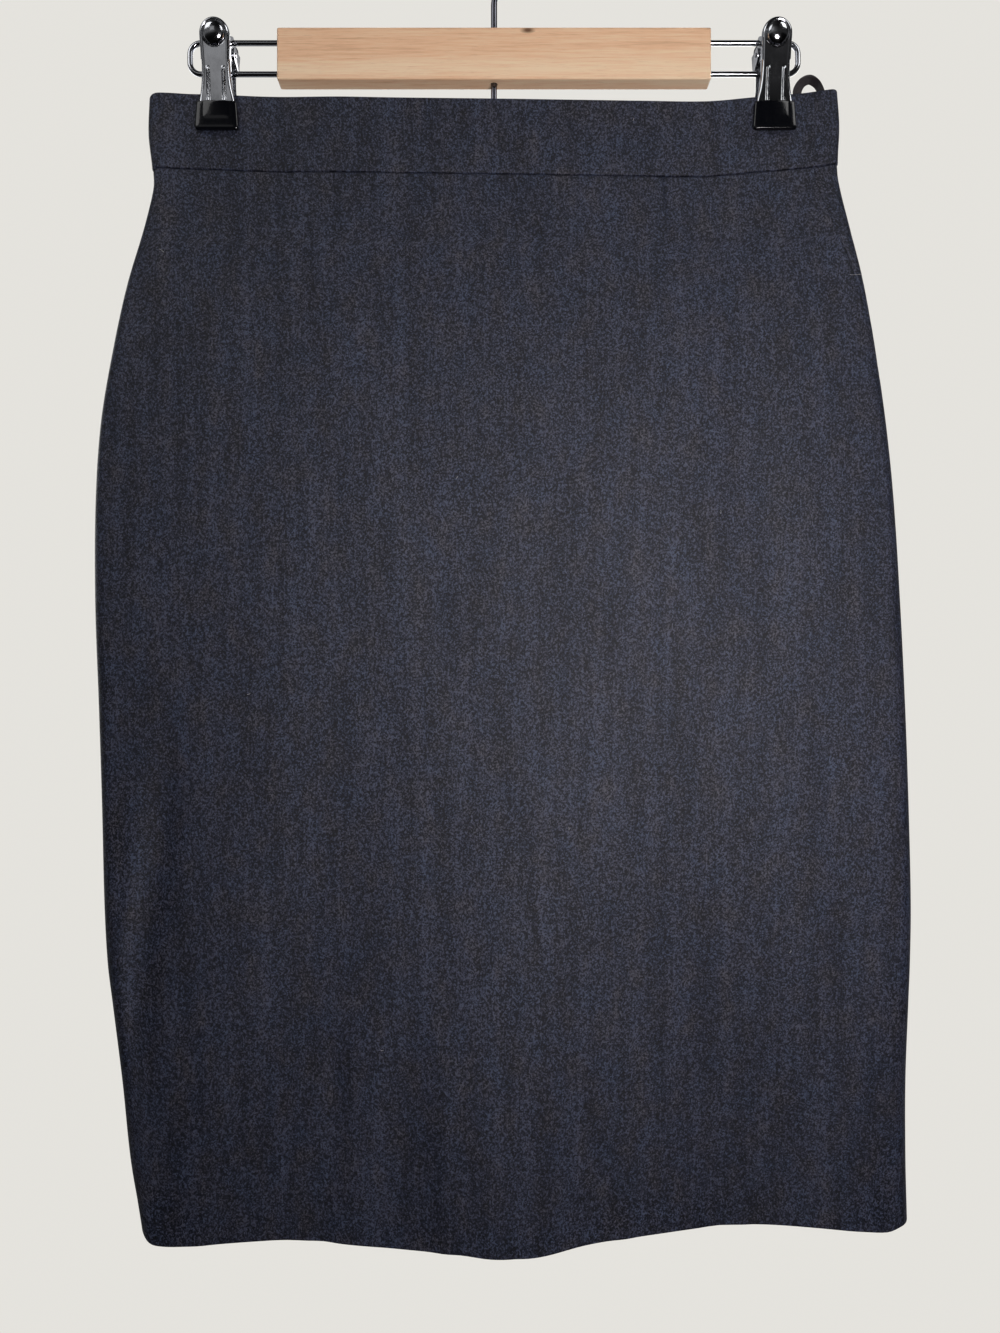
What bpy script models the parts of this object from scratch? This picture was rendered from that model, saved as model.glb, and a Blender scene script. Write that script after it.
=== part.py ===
# Pencil skirt hanging from a clip hanger.
#
# Frame: the origin is the inside top of the hook's crown, where a rail would carry it.
# +X is the viewer's right, -Y is the side that faces the viewer, +Z is up.
# Tables and constants are in millimetres; meshes are made in metres.

import math

import bmesh
import bpy
from mathutils import Matrix, Vector

MM = 0.001
SEAM_GAP = 0.3          # clear width between two pieces that meet
HALF_GAP = SEAM_GAP / 2

# ---------------------------------------------------------------- driving sizes

WAIST_LEVEL = -100.8    # top line of the waistband at the clips
BAND_HEIGHT = 41.4
SKIRT_LENGTH = 625.0    # waist line to hem

CLOTH_WALL = 1.6
BAND_PROUD = 0.4        # the band is folded cloth, so it stands out from the panels
CENTRE_BACK = 6.0       # the tube is turned a little on the clips
SEAM_BEHIND_LEFT = 6.0
SLIT_LENGTH = 150.0
SLIT_OPEN = 4.0         # half width of the slit at the hem

CLIP_X = (-152.0, 154.0)
JAW_HALF_WIDTH = 12.0

BAR_LENGTH = 238.0
BAR_DEPTH = 11.0
BAR_HEIGHT = 28.5
BAR_CENTRE = -80.2
ROD_RADIUS = 1.5
ROD_SPACING = 17.2
ROD_REACH = 168.0       # centre line of the end bends
ROD_BEND = 6.2
ROD_PLUG = 36.0         # length of each rod inside the bar

HOOK_RADIUS = 1.7
HOOK_CROWN = 19.0       # inside radius of the crown
HOOK_TAIL = -112.0      # lower end of the stem, between the layers of the band

# ---------------------------------------------------------------- skirt tables

# One row for each section, by its drop below the waist line: outline at the left and the
# right, radius of the side folds, swell of the front and back, right side seam's distance
# from the right fold (behind it is negative).
SECTION_COLUMNS = ("drop", "left", "right", "fold", "front", "back", "seam")
SECTIONS = (
    (0.0, -189.8, 189.0, 4.0, 2.4, 4.6, 13.5),
    (20.0, -190.4, 190.3, 4.0, 2.5, 4.6, 13.5),
    (41.4, -188.2, 189.4, 4.0, 3.0, 4.8, 13.5),
    (52.0, -188.2, 190.6, 4.2, 3.6, 5.2, 13.0),
    (76.0, -194.7, 196.6, 4.8, 5.0, 6.4, 10.0),
    (103.0, -202.4, 203.5, 5.4, 6.6, 8.0, 5.4),
    (137.0, -209.6, 209.8, 6.0, 8.4, 9.8, 1.6),
    (181.0, -216.9, 216.2, 6.6, 9.8, 11.4, -1.6),
    (225.0, -219.8, 220.6, 7.0, 10.4, 12.0, -4.0),
    (280.0, -220.0, 224.0, 7.4, 10.4, 11.8, -5.0),
    (336.0, -218.0, 226.7, 7.8, 10.0, 11.0, -5.0),
    (391.0, -216.2, 228.6, 8.2, 9.4, 10.2, -5.0),
    (446.0, -214.8, 229.8, 8.6, 8.8, 9.4, -5.0),
    (479.0, -213.0, 229.3, 8.8, 8.4, 9.0, -5.0),
    (502.0, -210.2, 228.4, 9.0, 8.2, 8.8, -5.0),
    (546.0, -204.8, 226.8, 9.2, 8.0, 8.4, -5.0),
    (590.0, -200.2, 226.8, 9.4, 8.0, 8.2, -5.0),
    (625.0, -194.0, 227.6, 9.6, 8.0, 8.0, -5.0),
)

# Height of the band's edge above its level line, along the skirt.
SAG = ((-190, -0.6), (-180, 0.0), (-150, -0.4), (-110, -2.4), (-60, -3.8), (0, -4.6),
       (60, -5.4), (90, -5.6), (116, -4.6), (142, -1.8), (172, 0.6), (190, 2.3))
SAG_KEPT = 41.4         # full down to here, gone at SAG_GONE
SAG_GONE = 170.0

# Height of the hem above its level line, along the skirt.
HEM_LIFT = ((-196, 3.0), (-188, -4.0), (-178, -5.6), (-160, -4.2), (-130, -1.6), (-107, -0.2),
            (-51, -3.0), (-18, -3.2), (0, -4.8), (25, -4.8), (50, -0.6), (80, 3.4), (112, 5.0),
            (136, 5.4), (178, 4.6), (200, 3.0), (214, 2.2), (221, 4.4), (228, 5.4))
HEM_LIFT_FROM = 420.0

# Large soft folds: face, place along the skirt at the start and the end of the fold, half
# width, depth (outwards is positive), drop where it starts, is full, stays full to and ends.
FOLD_COLUMNS = ("face", "x_start", "x_end", "half", "depth", "start", "full", "keep", "end")
FOLDS = (
    ("front", 22, 0, 62, 7.0, 330, 610, 700, 800),
    ("front", 104, 136, 66, -7.0, 360, 600, 700, 800),
    ("front", -60, -118, 52, -2.6, 240, 430, 560, 700),
    ("front", -176, -196, 16, -3.4, 330, 420, 480, 560),
    ("front", 128, 150, 34, -2.4, 60, 130, 200, 330),
    ("back", -70, -96, 70, -4.0, 260, 560, 700, 800),
    ("back", 84, 112, 70, 3.6, 300, 600, 700, 800),
    ("back", -120, -140, 36, -2.2, 60, 130, 210, 330),
)

PINCH = CLOTH_WALL + 0.85   # half depth of the pressed cloth between the jaws
PINCH_FLAT = 13.5           # half width that stays pressed flat
PINCH_INNER = 60.0          # run-out towards the middle
PINCH_OUTER = 22.0          # run-out towards the side folds
PINCH_KEPT = 32.0           # pressed down to here, free at PINCH_GONE
PINCH_GONE = 130.0

# ---------------------------------------------------------------- zip and loop

ZIP_END = 215.0
TAPE_WIDTH = 11.0
TAPE_INSET = 0.9
TAPE_OFFSETS = (-CLOTH_WALL - SEAM_GAP, -CLOTH_WALL - SEAM_GAP - 0.8)
CHAIN_HALF = 2.2
CHAIN_OFFSETS = (TAPE_OFFSETS[1] - SEAM_GAP, TAPE_OFFSETS[1] - SEAM_GAP - 1.5)
CHAIN_START = 14.5
SLIDER_SIZE = (8.0, 2.0, 9.5)
SLIDER_DROP = 8.6
BAIL_ARCH = 2.4
BAIL_WIRE = 0.5
AXLE_STAND_OFF = 1.5
PULL_WIDTH = 6.4
PULL_LENGTH = 20.0
PULL_THICK = 1.0

# Route of the hanging loop's ribbon: along X, outwards, above the waist line, and the turn of
# its width from facing the viewer.
RIBBON_COLUMNS = ("x", "y", "rise", "turn")
RIBBON = (
    (169.6, 0.0, -13.0, 0),
    (168.9, 0.0, -6.0, 0),
    (167.9, 0.0, 0.5, 0),
    (168.2, -0.3, 4.0, 4),
    (170.4, -0.6, 7.6, 14),
    (174.0, -0.8, 9.2, 24),
    (177.4, -0.6, 7.4, 42),
    (179.6, -0.3, 4.2, 56),
    (180.4, 0.0, 1.4, 34),
    (180.3, 0.0, -2.5, 8),
    (179.8, 0.0, -7.0, 0),
    (179.2, 0.0, -13.0, 0),
)
RIBBON_WIDTH = 5.2
RIBBON_THICK = 0.7

# ---------------------------------------------------------------- clip tables

JAW_TIP = -121.7
PIVOT_RISE = 43.2
PLATE_THICK = 0.9
# Pressed plate, by its rise above the jaw's tip: outer face from the middle plane, half
# width, depth of the turned-in edge, and how much wider the back plate is.
PLATE_COLUMNS = ("rise", "stand_off", "half", "edge", "wider")
PLATE = (
    (3.0, 5.2, 9.8, 0.3, 0.0),
    (14.0, 5.2, 9.8, 0.3, 0.0),
    (17.0, 5.4, 9.5, 1.0, 0.0),
    (21.0, 5.9, 8.9, 1.7, 0.0),
    (27.0, 6.8, 8.3, 2.2, 0.0),
    (35.0, 8.1, 8.0, 2.4, 0.3),
    (39.6, 9.0, 7.9, 2.4, 1.2),
    (46.8, 10.6, 7.9, 2.4, 1.2),
    (49.0, 11.1, 7.9, 2.4, 0.3),
)
PLATE_CROWN_RISE = 49.0     # centre of the round top end
PLATE_CROWN_RADIUS = 7.9
PLATE_CROWN_SLOPE = 0.24
BOSS_RADIUS = 6.2
BOSS_HEIGHT = 2.6
EAR_RADIUS = 3.8
ROD_EYE_RADIUS = 3.2
EAR_THICK = 0.9
EAR_X = {"front": 7.0, "back": 8.2}
PIN_RADIUS = 1.0
PIN_HALF = 9.8
COAT_HEIGHT = 15.2
COAT_TIP_HALF = JAW_HALF_WIDTH
COAT_TOP_HALF = 10.9
COAT_FACES = (PINCH + BAND_PROUD + SEAM_GAP, 6.3)
COAT_POCKET = (3.7, 5.5)
SPRING_RADIUS = 1.85
SPRING_LEG = (10.0, 9.0)    # end of each leg, out from the middle and up from the pivot
SPRING_WIRE = 0.5
SPRING_TURNS = 3.5
SPRING_PITCH = 1.4

# ---------------------------------------------------------------- materials

MATERIALS = {
    "worsted": ((0.036, 0.036, 0.048), 0.85, 0.0),
    "zip_tape": ((0.020, 0.020, 0.024), 0.80, 0.0),
    "zip_chain": ((0.030, 0.030, 0.034), 0.45, 0.0),
    "zip_metal": ((0.050, 0.050, 0.055), 0.35, 0.6),
    "ribbon": ((0.035, 0.028, 0.030), 0.50, 0.0),
    "wood": ((0.640, 0.420, 0.250), 0.55, 0.0),
    "chrome": ((0.620, 0.620, 0.640), 0.15, 1.0),
    "coating": ((0.008, 0.008, 0.009), 0.20, 0.0),
}


def clear_scene():
    for item in list(bpy.data.objects):
        bpy.data.objects.remove(item, do_unlink=True)


def material(slot):
    existing = bpy.data.materials.get(slot)
    if existing:
        return existing
    colour, roughness, metallic = MATERIALS[slot]
    made = bpy.data.materials.new(slot)
    made.use_nodes = True
    shader = made.node_tree.nodes["Principled BSDF"]
    shader.inputs["Base Color"].default_value = (*colour, 1.0)
    shader.inputs["Roughness"].default_value = roughness
    shader.inputs["Metallic"].default_value = metallic
    return made


def add_object(name, data, slot):
    thing = bpy.data.objects.new(name, data)
    data.materials.append(material(slot))
    bpy.context.scene.collection.objects.link(thing)
    return thing


def mesh_object(name, points, faces, slot, smooth_angle=35.0):
    mesh = bpy.data.meshes.new(name)
    mesh.from_pydata([Vector(point) * MM for point in points], [], faces)
    mesh.shade_smooth()
    mesh.set_sharp_from_angle(angle=math.radians(smooth_angle))
    mesh.update()
    return add_object(name, mesh, slot)


# ---------------------------------------------------------------- small mathematics


def smooth_step(value, low, high):
    share = min(1.0, max(0.0, (value - low) / (high - low)))
    return share * share * (3.0 - 2.0 * share)


def curve_value(pairs, place):
    # Cubic through the pairs, with the slope at each pair taken from its neighbours.
    if place <= pairs[0][0]:
        return pairs[0][1]
    if place >= pairs[-1][0]:
        return pairs[-1][1]
    index = max(i for i, pair in enumerate(pairs[:-1]) if pair[0] <= place)
    (x0, v0), (x1, v1) = pairs[index], pairs[index + 1]
    before = pairs[max(index - 1, 0)]
    after = pairs[min(index + 2, len(pairs) - 1)]
    slope0 = (v1 - before[1]) / (x1 - before[0])
    slope1 = (after[1] - v0) / (after[0] - x0)
    t = (place - x0) / (x1 - x0)
    rise0 = slope0 * (x1 - x0)
    rise1 = slope1 * (x1 - x0)
    shape0 = (1 + 2 * t) * (1 - t) ** 2 * v0 + t * (1 - t) ** 2 * rise0
    shape1 = t * t * (3 - 2 * t) * v1 + t * t * (t - 1) * rise1
    return shape0 + shape1


SECTION_CURVES = {
    column: tuple((row[0], row[place]) for row in SECTIONS)
    for place, column in enumerate(SECTION_COLUMNS)
}


def section(column, drop):
    return curve_value(SECTION_CURVES[column], drop)


# ---------------------------------------------------------------- the skirt's surface
#
# A place on the tube is (turn, drop). turn runs 0 to 1 over the front from the left fold to
# the right fold, and 1 to 2 over the back from the right fold to the left fold.


def middle_and_half(drop):
    left = section("left", drop)
    right = section("right", drop)
    return (left + right) / 2, (right - left) / 2


def turn_at(x, drop, face):
    middle, half = middle_and_half(drop)
    share = math.acos(min(1.0, max(-1.0, (middle - x) / half))) / math.pi
    return share if face == "front" else 2.0 - share


def fold_depth(face, x, drop):
    total = 0.0
    for row in FOLDS:
        fold = dict(zip(FOLD_COLUMNS, row))
        if fold["face"] != face or not fold["start"] < drop < fold["end"]:
            continue
        along = smooth_step(drop, fold["start"], fold["full"])
        along *= 1.0 - smooth_step(drop, fold["keep"], fold["end"])
        run = smooth_step(drop, fold["start"], min(fold["end"], SKIRT_LENGTH))
        centre = fold["x_start"] + (fold["x_end"] - fold["x_start"]) * run
        across = abs(x - centre) / fold["half"]
        if across < 1.0:
            total += fold["depth"] * along * (0.5 + 0.5 * math.cos(math.pi * across))
    return total


def pinch_share(x, drop):
    share = 0.0
    for clip_x in CLIP_X:
        inwards = (x - clip_x) * (-1 if clip_x > 0 else 1)
        run_out = PINCH_INNER if inwards > 0 else PINCH_OUTER
        share = max(share, 1.0 - smooth_step(abs(inwards), PINCH_FLAT, PINCH_FLAT + run_out))
    return share * (1.0 - smooth_step(drop, PINCH_KEPT, PINCH_GONE))


def skirt_point(turn, drop):
    turn = turn % 2.0
    face = "front" if turn <= 1.0 else "back"
    side = -1.0 if face == "front" else 1.0
    middle, half = middle_and_half(drop)
    x = middle - half * math.cos(math.pi * turn)
    from_fold = half - abs(x - middle)
    fold = section("fold", drop)
    depth = fold
    if from_fold < fold:
        depth = math.sqrt(max(0.0, 2.0 * fold * from_fold - from_fold * from_fold))
    across = abs(x - middle) / half
    swell = 1.0 - across ** 2.4
    depth += section(face, drop) * swell
    depth += fold_depth(face, x, drop) * min(1.0, from_fold / 12.0)
    pressed = min(depth, PINCH)
    depth += (pressed - depth) * pinch_share(x, drop)
    height = WAIST_LEVEL - drop
    height += curve_value(SAG, x) * (1.0 - smooth_step(drop, SAG_KEPT, SAG_GONE))
    height += curve_value(HEM_LIFT, x) * smooth_step(drop, HEM_LIFT_FROM, SKIRT_LENGTH)
    return Vector((x, side * depth, height))


def skirt_normal(turn, drop):
    step_turn = 0.004
    step_drop = 1.0
    along = skirt_point(turn + step_turn, drop) - skirt_point(turn - step_turn, drop)
    down = skirt_point(turn, drop + step_drop) - skirt_point(turn, drop - step_drop)
    return down.cross(along).normalized()


def sheet_solid(name, slot, turns, drops, offsets, columns, rows, crowd=1.0):
    # A wall on the skirt's surface. turns(drop) gives its two ends, drops its top and bottom,
    # offsets its outer and inner face along the surface's normal.
    outer, inner = [], []
    for row in range(rows + 1):
        drop = drops[0] + (drops[1] - drops[0]) * (row / rows) ** crowd
        first, last = turns(drop)
        for column in range(columns + 1):
            turn = first + (last - first) * column / columns
            place = skirt_point(turn, drop)
            normal = skirt_normal(turn, drop)
            outer.append(place + normal * offsets[0])
            inner.append(place + normal * offsets[1])
    width = columns + 1
    count = len(outer)
    faces = []
    for row in range(rows):
        for column in range(columns):
            a = row * width + column
            b, c, d = a + 1, a + width + 1, a + width
            faces.append((a, d, c, b))
            faces.append((count + a, count + b, count + c, count + d))
    rim = [column for column in range(columns)]
    rim += [row * width + columns for row in range(rows)]
    rim += [rows * width + column for column in range(columns, 0, -1)]
    rim += [row * width for row in range(rows, 0, -1)]
    for place, index in enumerate(rim):
        following = rim[(place + 1) % len(rim)]
        faces.append((index, following, count + following, count + index))
    return mesh_object(name, outer + inner, faces, slot)


# ---------------------------------------------------------------- skirt pieces


def turn_per_mm(turn, drop):
    step = 0.002
    along = skirt_point(turn + step, drop) - skirt_point(turn - step, drop)
    return 2 * step / along.length


def left_seam(drop, gap):
    _, half = middle_and_half(drop)
    turn = -math.acos(1.0 - SEAM_BEHIND_LEFT / half) / math.pi
    return turn + gap * turn_per_mm(turn, drop)


def right_seam(drop, gap):
    _, half = middle_and_half(drop)
    from_fold = section("seam", drop)
    share = math.acos(1.0 - abs(from_fold) / half) / math.pi
    turn = 1.0 - math.copysign(share, from_fold)
    return turn + gap * turn_per_mm(turn, drop)


def slit_half(drop):
    top = SKIRT_LENGTH - SLIT_LENGTH
    opening = max(0.0, drop - top) / SLIT_LENGTH
    return HALF_GAP + SLIT_OPEN * opening ** 1.5


def front_turns(drop):
    return left_seam(drop, HALF_GAP), right_seam(drop, -HALF_GAP)


def back_right_turns(drop):
    edge = CENTRE_BACK + slit_half(drop)
    return right_seam(drop, HALF_GAP), turn_at(edge, drop, "back")


def back_left_turns(drop):
    edge = CENTRE_BACK - slit_half(drop)
    return turn_at(edge, drop, "back"), 2.0 + left_seam(drop, -HALF_GAP)


def band_back_right_turns(drop):
    return right_seam(drop, HALF_GAP), turn_at(CENTRE_BACK + TAPE_INSET, drop, "back")


def band_back_left_turns(drop):
    return turn_at(CENTRE_BACK - TAPE_INSET, drop, "back"), 2.0 + left_seam(drop, -HALF_GAP)


def make_panels():
    drops = (BAND_HEIGHT + HALF_GAP, SKIRT_LENGTH)
    walls = (0.0, -CLOTH_WALL)
    sheet_solid("front_panel", "worsted", front_turns, drops, walls, 34, 21, 1.25)
    sheet_solid("back_panel_right", "worsted", back_right_turns, drops, walls, 18, 21, 1.25)
    sheet_solid("back_panel_left", "worsted", back_left_turns, drops, walls, 18, 21, 1.25)


def make_waistband():
    drops = (0.0, BAND_HEIGHT - HALF_GAP)
    walls = (BAND_PROUD, -CLOTH_WALL)
    sheet_solid("waistband_front", "worsted", front_turns, drops, walls, 34, 3)
    sheet_solid("waistband_back_right", "worsted", band_back_right_turns, drops, walls, 18, 3)
    sheet_solid("waistband_back_left", "worsted", band_back_left_turns, drops, walls, 18, 3)


def tape_turns(side):
    def turns(drop):
        near = turn_at(CENTRE_BACK + side * TAPE_INSET, drop, "back")
        far = turn_at(CENTRE_BACK + side * (TAPE_INSET + TAPE_WIDTH), drop, "back")
        return min(near, far), max(near, far)
    return turns


def chain_turns(drop):
    low = turn_at(CENTRE_BACK + CHAIN_HALF, drop, "back")
    return low, turn_at(CENTRE_BACK - CHAIN_HALF, drop, "back")


def make_zip():
    tape = (2.0, ZIP_END)
    sheet_solid("zip_tape_right", "zip_tape", tape_turns(1), tape, TAPE_OFFSETS, 3, 12)
    sheet_solid("zip_tape_left", "zip_tape", tape_turns(-1), tape, TAPE_OFFSETS, 3, 12)
    chain = (CHAIN_START, ZIP_END - 4.0)
    sheet_solid("zip_chain", "zip_chain", chain_turns, chain, CHAIN_OFFSETS, 2, 12)


# ---------------------------------------------------------------- solid helpers


def box_mesh(low, high):
    made = bmesh.new()
    bmesh.ops.create_cube(made, size=1.0)
    size = Vector(high) - Vector(low)
    centre = (Vector(high) + Vector(low)) / 2
    for vertex in made.verts:
        vertex.co = Vector(a * b for a, b in zip(vertex.co, size)) + centre
    return made


def cylinder_mesh(radius, start, end, sides=24):
    start, end = Vector(start), Vector(end)
    made = bmesh.new()
    bmesh.ops.create_cone(made, cap_ends=True, segments=sides, radius1=radius, radius2=radius,
                          depth=(end - start).length)
    turn = (end - start).to_track_quat("Z", "Y").to_matrix().to_4x4()
    bmesh.ops.transform(made, matrix=Matrix.Translation((start + end) / 2) @ turn,
                        verts=made.verts)
    return made


def loft_mesh(rings):
    # Closed rings of equal length, joined in order and capped.
    made = bmesh.new()
    rows = [[made.verts.new(point) for point in ring] for ring in rings]
    count = len(rows[0])
    for lower, upper in zip(rows, rows[1:]):
        for place in range(count):
            following = (place + 1) % count
            made.faces.new((lower[place], lower[following], upper[following], upper[place]))
    made.faces.new(list(reversed(rows[0])))
    made.faces.new(rows[-1])
    bmesh.ops.recalc_face_normals(made, faces=made.faces)
    return made


def place_mesh(name, made, slot, smooth_angle=35.0):
    for vertex in made.verts:
        vertex.co *= MM
    mesh = bpy.data.meshes.new(name)
    made.to_mesh(mesh)
    made.free()
    mesh.shade_smooth()
    mesh.set_sharp_from_angle(angle=math.radians(smooth_angle))
    return add_object(name, mesh, slot)


def tool(made):
    # A shape used only to cut or join, left out of the model.
    for vertex in made.verts:
        vertex.co *= MM
    mesh = bpy.data.meshes.new("tool")
    made.to_mesh(mesh)
    made.free()
    thing = bpy.data.objects.new("tool", mesh)
    bpy.context.scene.collection.objects.link(thing)
    thing.hide_render = True
    thing.display_type = "WIRE"
    return thing


def combine(thing, made, operation):
    step = thing.modifiers.new(operation.lower(), "BOOLEAN")
    step.operation = operation
    step.solver = "EXACT"
    step.object = tool(made)


def ease_edges(thing, width, segments=2):
    step = thing.modifiers.new("eased_edges", "BEVEL")
    step.width = width * MM
    step.segments = segments
    step.limit_method = "ANGLE"


def wire_object(name, points, radius, slot, resolution=4):
    curve = bpy.data.curves.new(name, "CURVE")
    curve.dimensions = "3D"
    curve.bevel_depth = radius * MM
    curve.bevel_resolution = resolution
    curve.use_fill_caps = True
    spline = curve.splines.new("POLY")
    spline.points.add(len(points) - 1)
    for point, place in zip(spline.points, points):
        point.co = (*(Vector(place) * MM), 1.0)
    spline.use_smooth = True
    return add_object(name, curve, slot)


def arc(centre, radius, start, end, count):
    points = []
    for step in range(count + 1):
        angle = math.radians(start + (end - start) * step / count)
        points.append((centre[0] + radius * math.cos(angle), 0.0,
                       centre[1] + radius * math.sin(angle)))
    return points


# ---------------------------------------------------------------- zip slider and pull


def back_face_at_slider():
    turn = turn_at(CENTRE_BACK, SLIDER_DROP, "back")
    return skirt_point(turn, SLIDER_DROP)


def bail_path(centre, inner_y):
    axle_y = centre.y + BAND_PROUD + AXLE_STAND_OFF
    points = [Vector((centre.x, inner_y, centre.z - BAIL_ARCH))]
    for step in range(9):
        angle = math.radians(-90 + 180 * step / 8)
        points.append(Vector((centre.x, axle_y + BAIL_ARCH * math.cos(angle),
                              centre.z + BAIL_ARCH * math.sin(angle))))
    points.append(Vector((centre.x, inner_y, centre.z + BAIL_ARCH)))
    return points


def bail_rings(points, sides=8):
    rings = []
    for place, point in enumerate(points):
        before = points[max(place - 1, 0)]
        after = points[min(place + 1, len(points) - 1)]
        forwards = (after - before).normalized()
        across = Vector((1.0, 0.0, 0.0))
        outwards = across.cross(forwards).normalized()
        ring = []
        for step in range(sides):
            angle = 2 * math.pi * (step + 0.5) / sides
            ring.append(point + across * (BAIL_WIRE * math.cos(angle))
                        + outwards * (BAIL_WIRE * math.sin(angle)))
        rings.append(ring)
    return rings


def make_slider():
    centre = back_face_at_slider()
    width, depth, height = SLIDER_SIZE
    outer = centre.y + CHAIN_OFFSETS[0]
    low = (centre.x - width / 2, outer - depth, centre.z - height / 2)
    high = (centre.x + width / 2, outer, centre.z + height / 2)
    body = place_mesh("zip_slider", box_mesh(low, high), "zip_metal")
    ease_edges(body, 0.5, 1)
    path = bail_path(centre, outer - depth / 2)
    combine(body, loft_mesh(bail_rings(path)), "UNION")


def pull_outline():
    # Teardrop below the axle: half widths by distance down from the top edge.
    half = PULL_WIDTH / 2
    rows = ((0.0, 0.62), (0.6, 0.80), (2.5, 0.84), (7.0, 0.70), (12.0, 0.86), (16.0, 1.0),
            (18.4, 0.86), (19.6, 0.52), (PULL_LENGTH, 0.2))
    right = [(half * share, -down) for down, share in rows]
    left = [(-x, z) for x, z in reversed(right)]
    return right + left


def make_pull():
    centre = back_face_at_slider()
    axle_y = centre.y + BAND_PROUD + AXLE_STAND_OFF
    top = centre.z + 0.8
    rings = []
    for y in (axle_y - PULL_THICK / 2, axle_y + PULL_THICK / 2):
        rings.append([(centre.x + x, y, top + z) for x, z in pull_outline()])
    pull = place_mesh("zip_pull", loft_mesh(rings), "zip_metal")
    hole_low = (centre.x - 1.1, axle_y - 2.0, centre.z - 4.0)
    hole_high = (centre.x + 1.1, axle_y + 2.0, centre.z - 0.8)
    combine(pull, box_mesh(hole_low, hole_high), "DIFFERENCE")


# ---------------------------------------------------------------- hanging loop


def ribbon_frame(position):
    curves = {}
    for place, column in enumerate(RIBBON_COLUMNS):
        curves[column] = [(row, values[place]) for row, values in enumerate(RIBBON)]
    values = {column: curve_value(pairs, position) for column, pairs in curves.items()}
    return Vector((values["x"], values["y"], WAIST_LEVEL + values["rise"])), values["turn"]


def make_hanging_loop():
    steps = 30
    last = len(RIBBON) - 1
    rings = []
    for step in range(steps + 1):
        position = last * step / steps
        point, turn = ribbon_frame(position)
        before, _ = ribbon_frame(max(0.0, position - 0.2))
        after, _ = ribbon_frame(min(last, position + 0.2))
        forwards = (after - before).normalized()
        flat = Vector((0.0, -1.0, 0.0))
        across = flat.cross(forwards).normalized()
        across = Matrix.Rotation(math.radians(turn), 3, forwards) @ across
        thick = across.cross(forwards).normalized()
        ring = []
        for side, face in ((-1, -1), (1, -1), (1, 1), (-1, 1)):
            ring.append(point + across * (side * RIBBON_WIDTH / 2)
                        + thick * (face * RIBBON_THICK / 2))
        rings.append(ring)
    place_mesh("hanging_loop", loft_mesh(rings), "ribbon", 50.0)


# ---------------------------------------------------------------- hanger


def make_bar():
    half = (BAR_LENGTH / 2, BAR_DEPTH / 2, BAR_HEIGHT / 2)
    low = (-half[0], -half[1], BAR_CENTRE - half[2])
    high = (half[0], half[1], BAR_CENTRE + half[2])
    bar = place_mesh("bar", box_mesh(low, high), "wood")
    ease_edges(bar, 0.9)
    over = 5.0
    for height in (-ROD_SPACING / 2, ROD_SPACING / 2):
        for side in (-1, 1):
            inner = (side * (half[0] - ROD_PLUG - 1.0), 0.0, BAR_CENTRE + height)
            outer = (side * (half[0] + over), 0.0, BAR_CENTRE + height)
            combine(bar, cylinder_mesh(ROD_RADIUS + SEAM_GAP, inner, outer), "DIFFERENCE")
    below = (0.0, 0.0, low[2] - over)
    above = (0.0, 0.0, high[2] + over)
    combine(bar, cylinder_mesh(HOOK_RADIUS + SEAM_GAP, below, above), "DIFFERENCE")


def make_rods():
    half = ROD_SPACING / 2
    inner = BAR_LENGTH / 2 - ROD_PLUG
    corner = ROD_REACH - ROD_BEND
    lower = arc((corner, BAR_CENTRE - half + ROD_BEND), ROD_BEND, -90, 0, 7)
    upper = arc((corner, BAR_CENTRE + half - ROD_BEND), ROD_BEND, 0, 90, 7)
    route = [(inner, 0.0, BAR_CENTRE - half), *lower, *upper, (inner, 0.0, BAR_CENTRE + half)]
    for name, side in (("rod_loop_left", -1), ("rod_loop_right", 1)):
        wire_object(name, [(side * x, y, z) for x, y, z in route], ROD_RADIUS, "chrome")


def make_hook():
    crown = HOOK_CROWN + HOOK_RADIUS
    neck = 14.0
    crown_centre = (0.0, -HOOK_CROWN)
    reach = crown + neck
    neck_centre = (neck, -HOOK_CROWN - math.sqrt(reach ** 2 - neck ** 2))
    slope = math.degrees(math.atan2(crown_centre[1] - neck_centre[1], -neck))
    stem = [(0.0, 0.0, HOOK_TAIL), (0.0, 0.0, neck_centre[1] - 2.0)]
    turned = arc(neck_centre, neck, 180.0, slope, 6)
    over = arc(crown_centre, crown, slope - 180.0, 208.0, 26)
    wire_object("hook", stem + turned + over[1:], HOOK_RADIUS, "chrome")


# ---------------------------------------------------------------- clips


def plate_rows():
    rows = [dict(zip(PLATE_COLUMNS, values)) for values in PLATE]
    last = rows[-1]
    for angle in (16, 32, 48, 62, 74, 84):
        rise = PLATE_CROWN_RISE + PLATE_CROWN_RADIUS * math.sin(math.radians(angle))
        rows.append({
            "rise": rise,
            "stand_off": last["stand_off"] + (rise - last["rise"]) * PLATE_CROWN_SLOPE,
            "half": PLATE_CROWN_RADIUS * math.cos(math.radians(angle)),
            "edge": last["edge"],
            "wider": 0.0,
        })
    return rows


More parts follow.
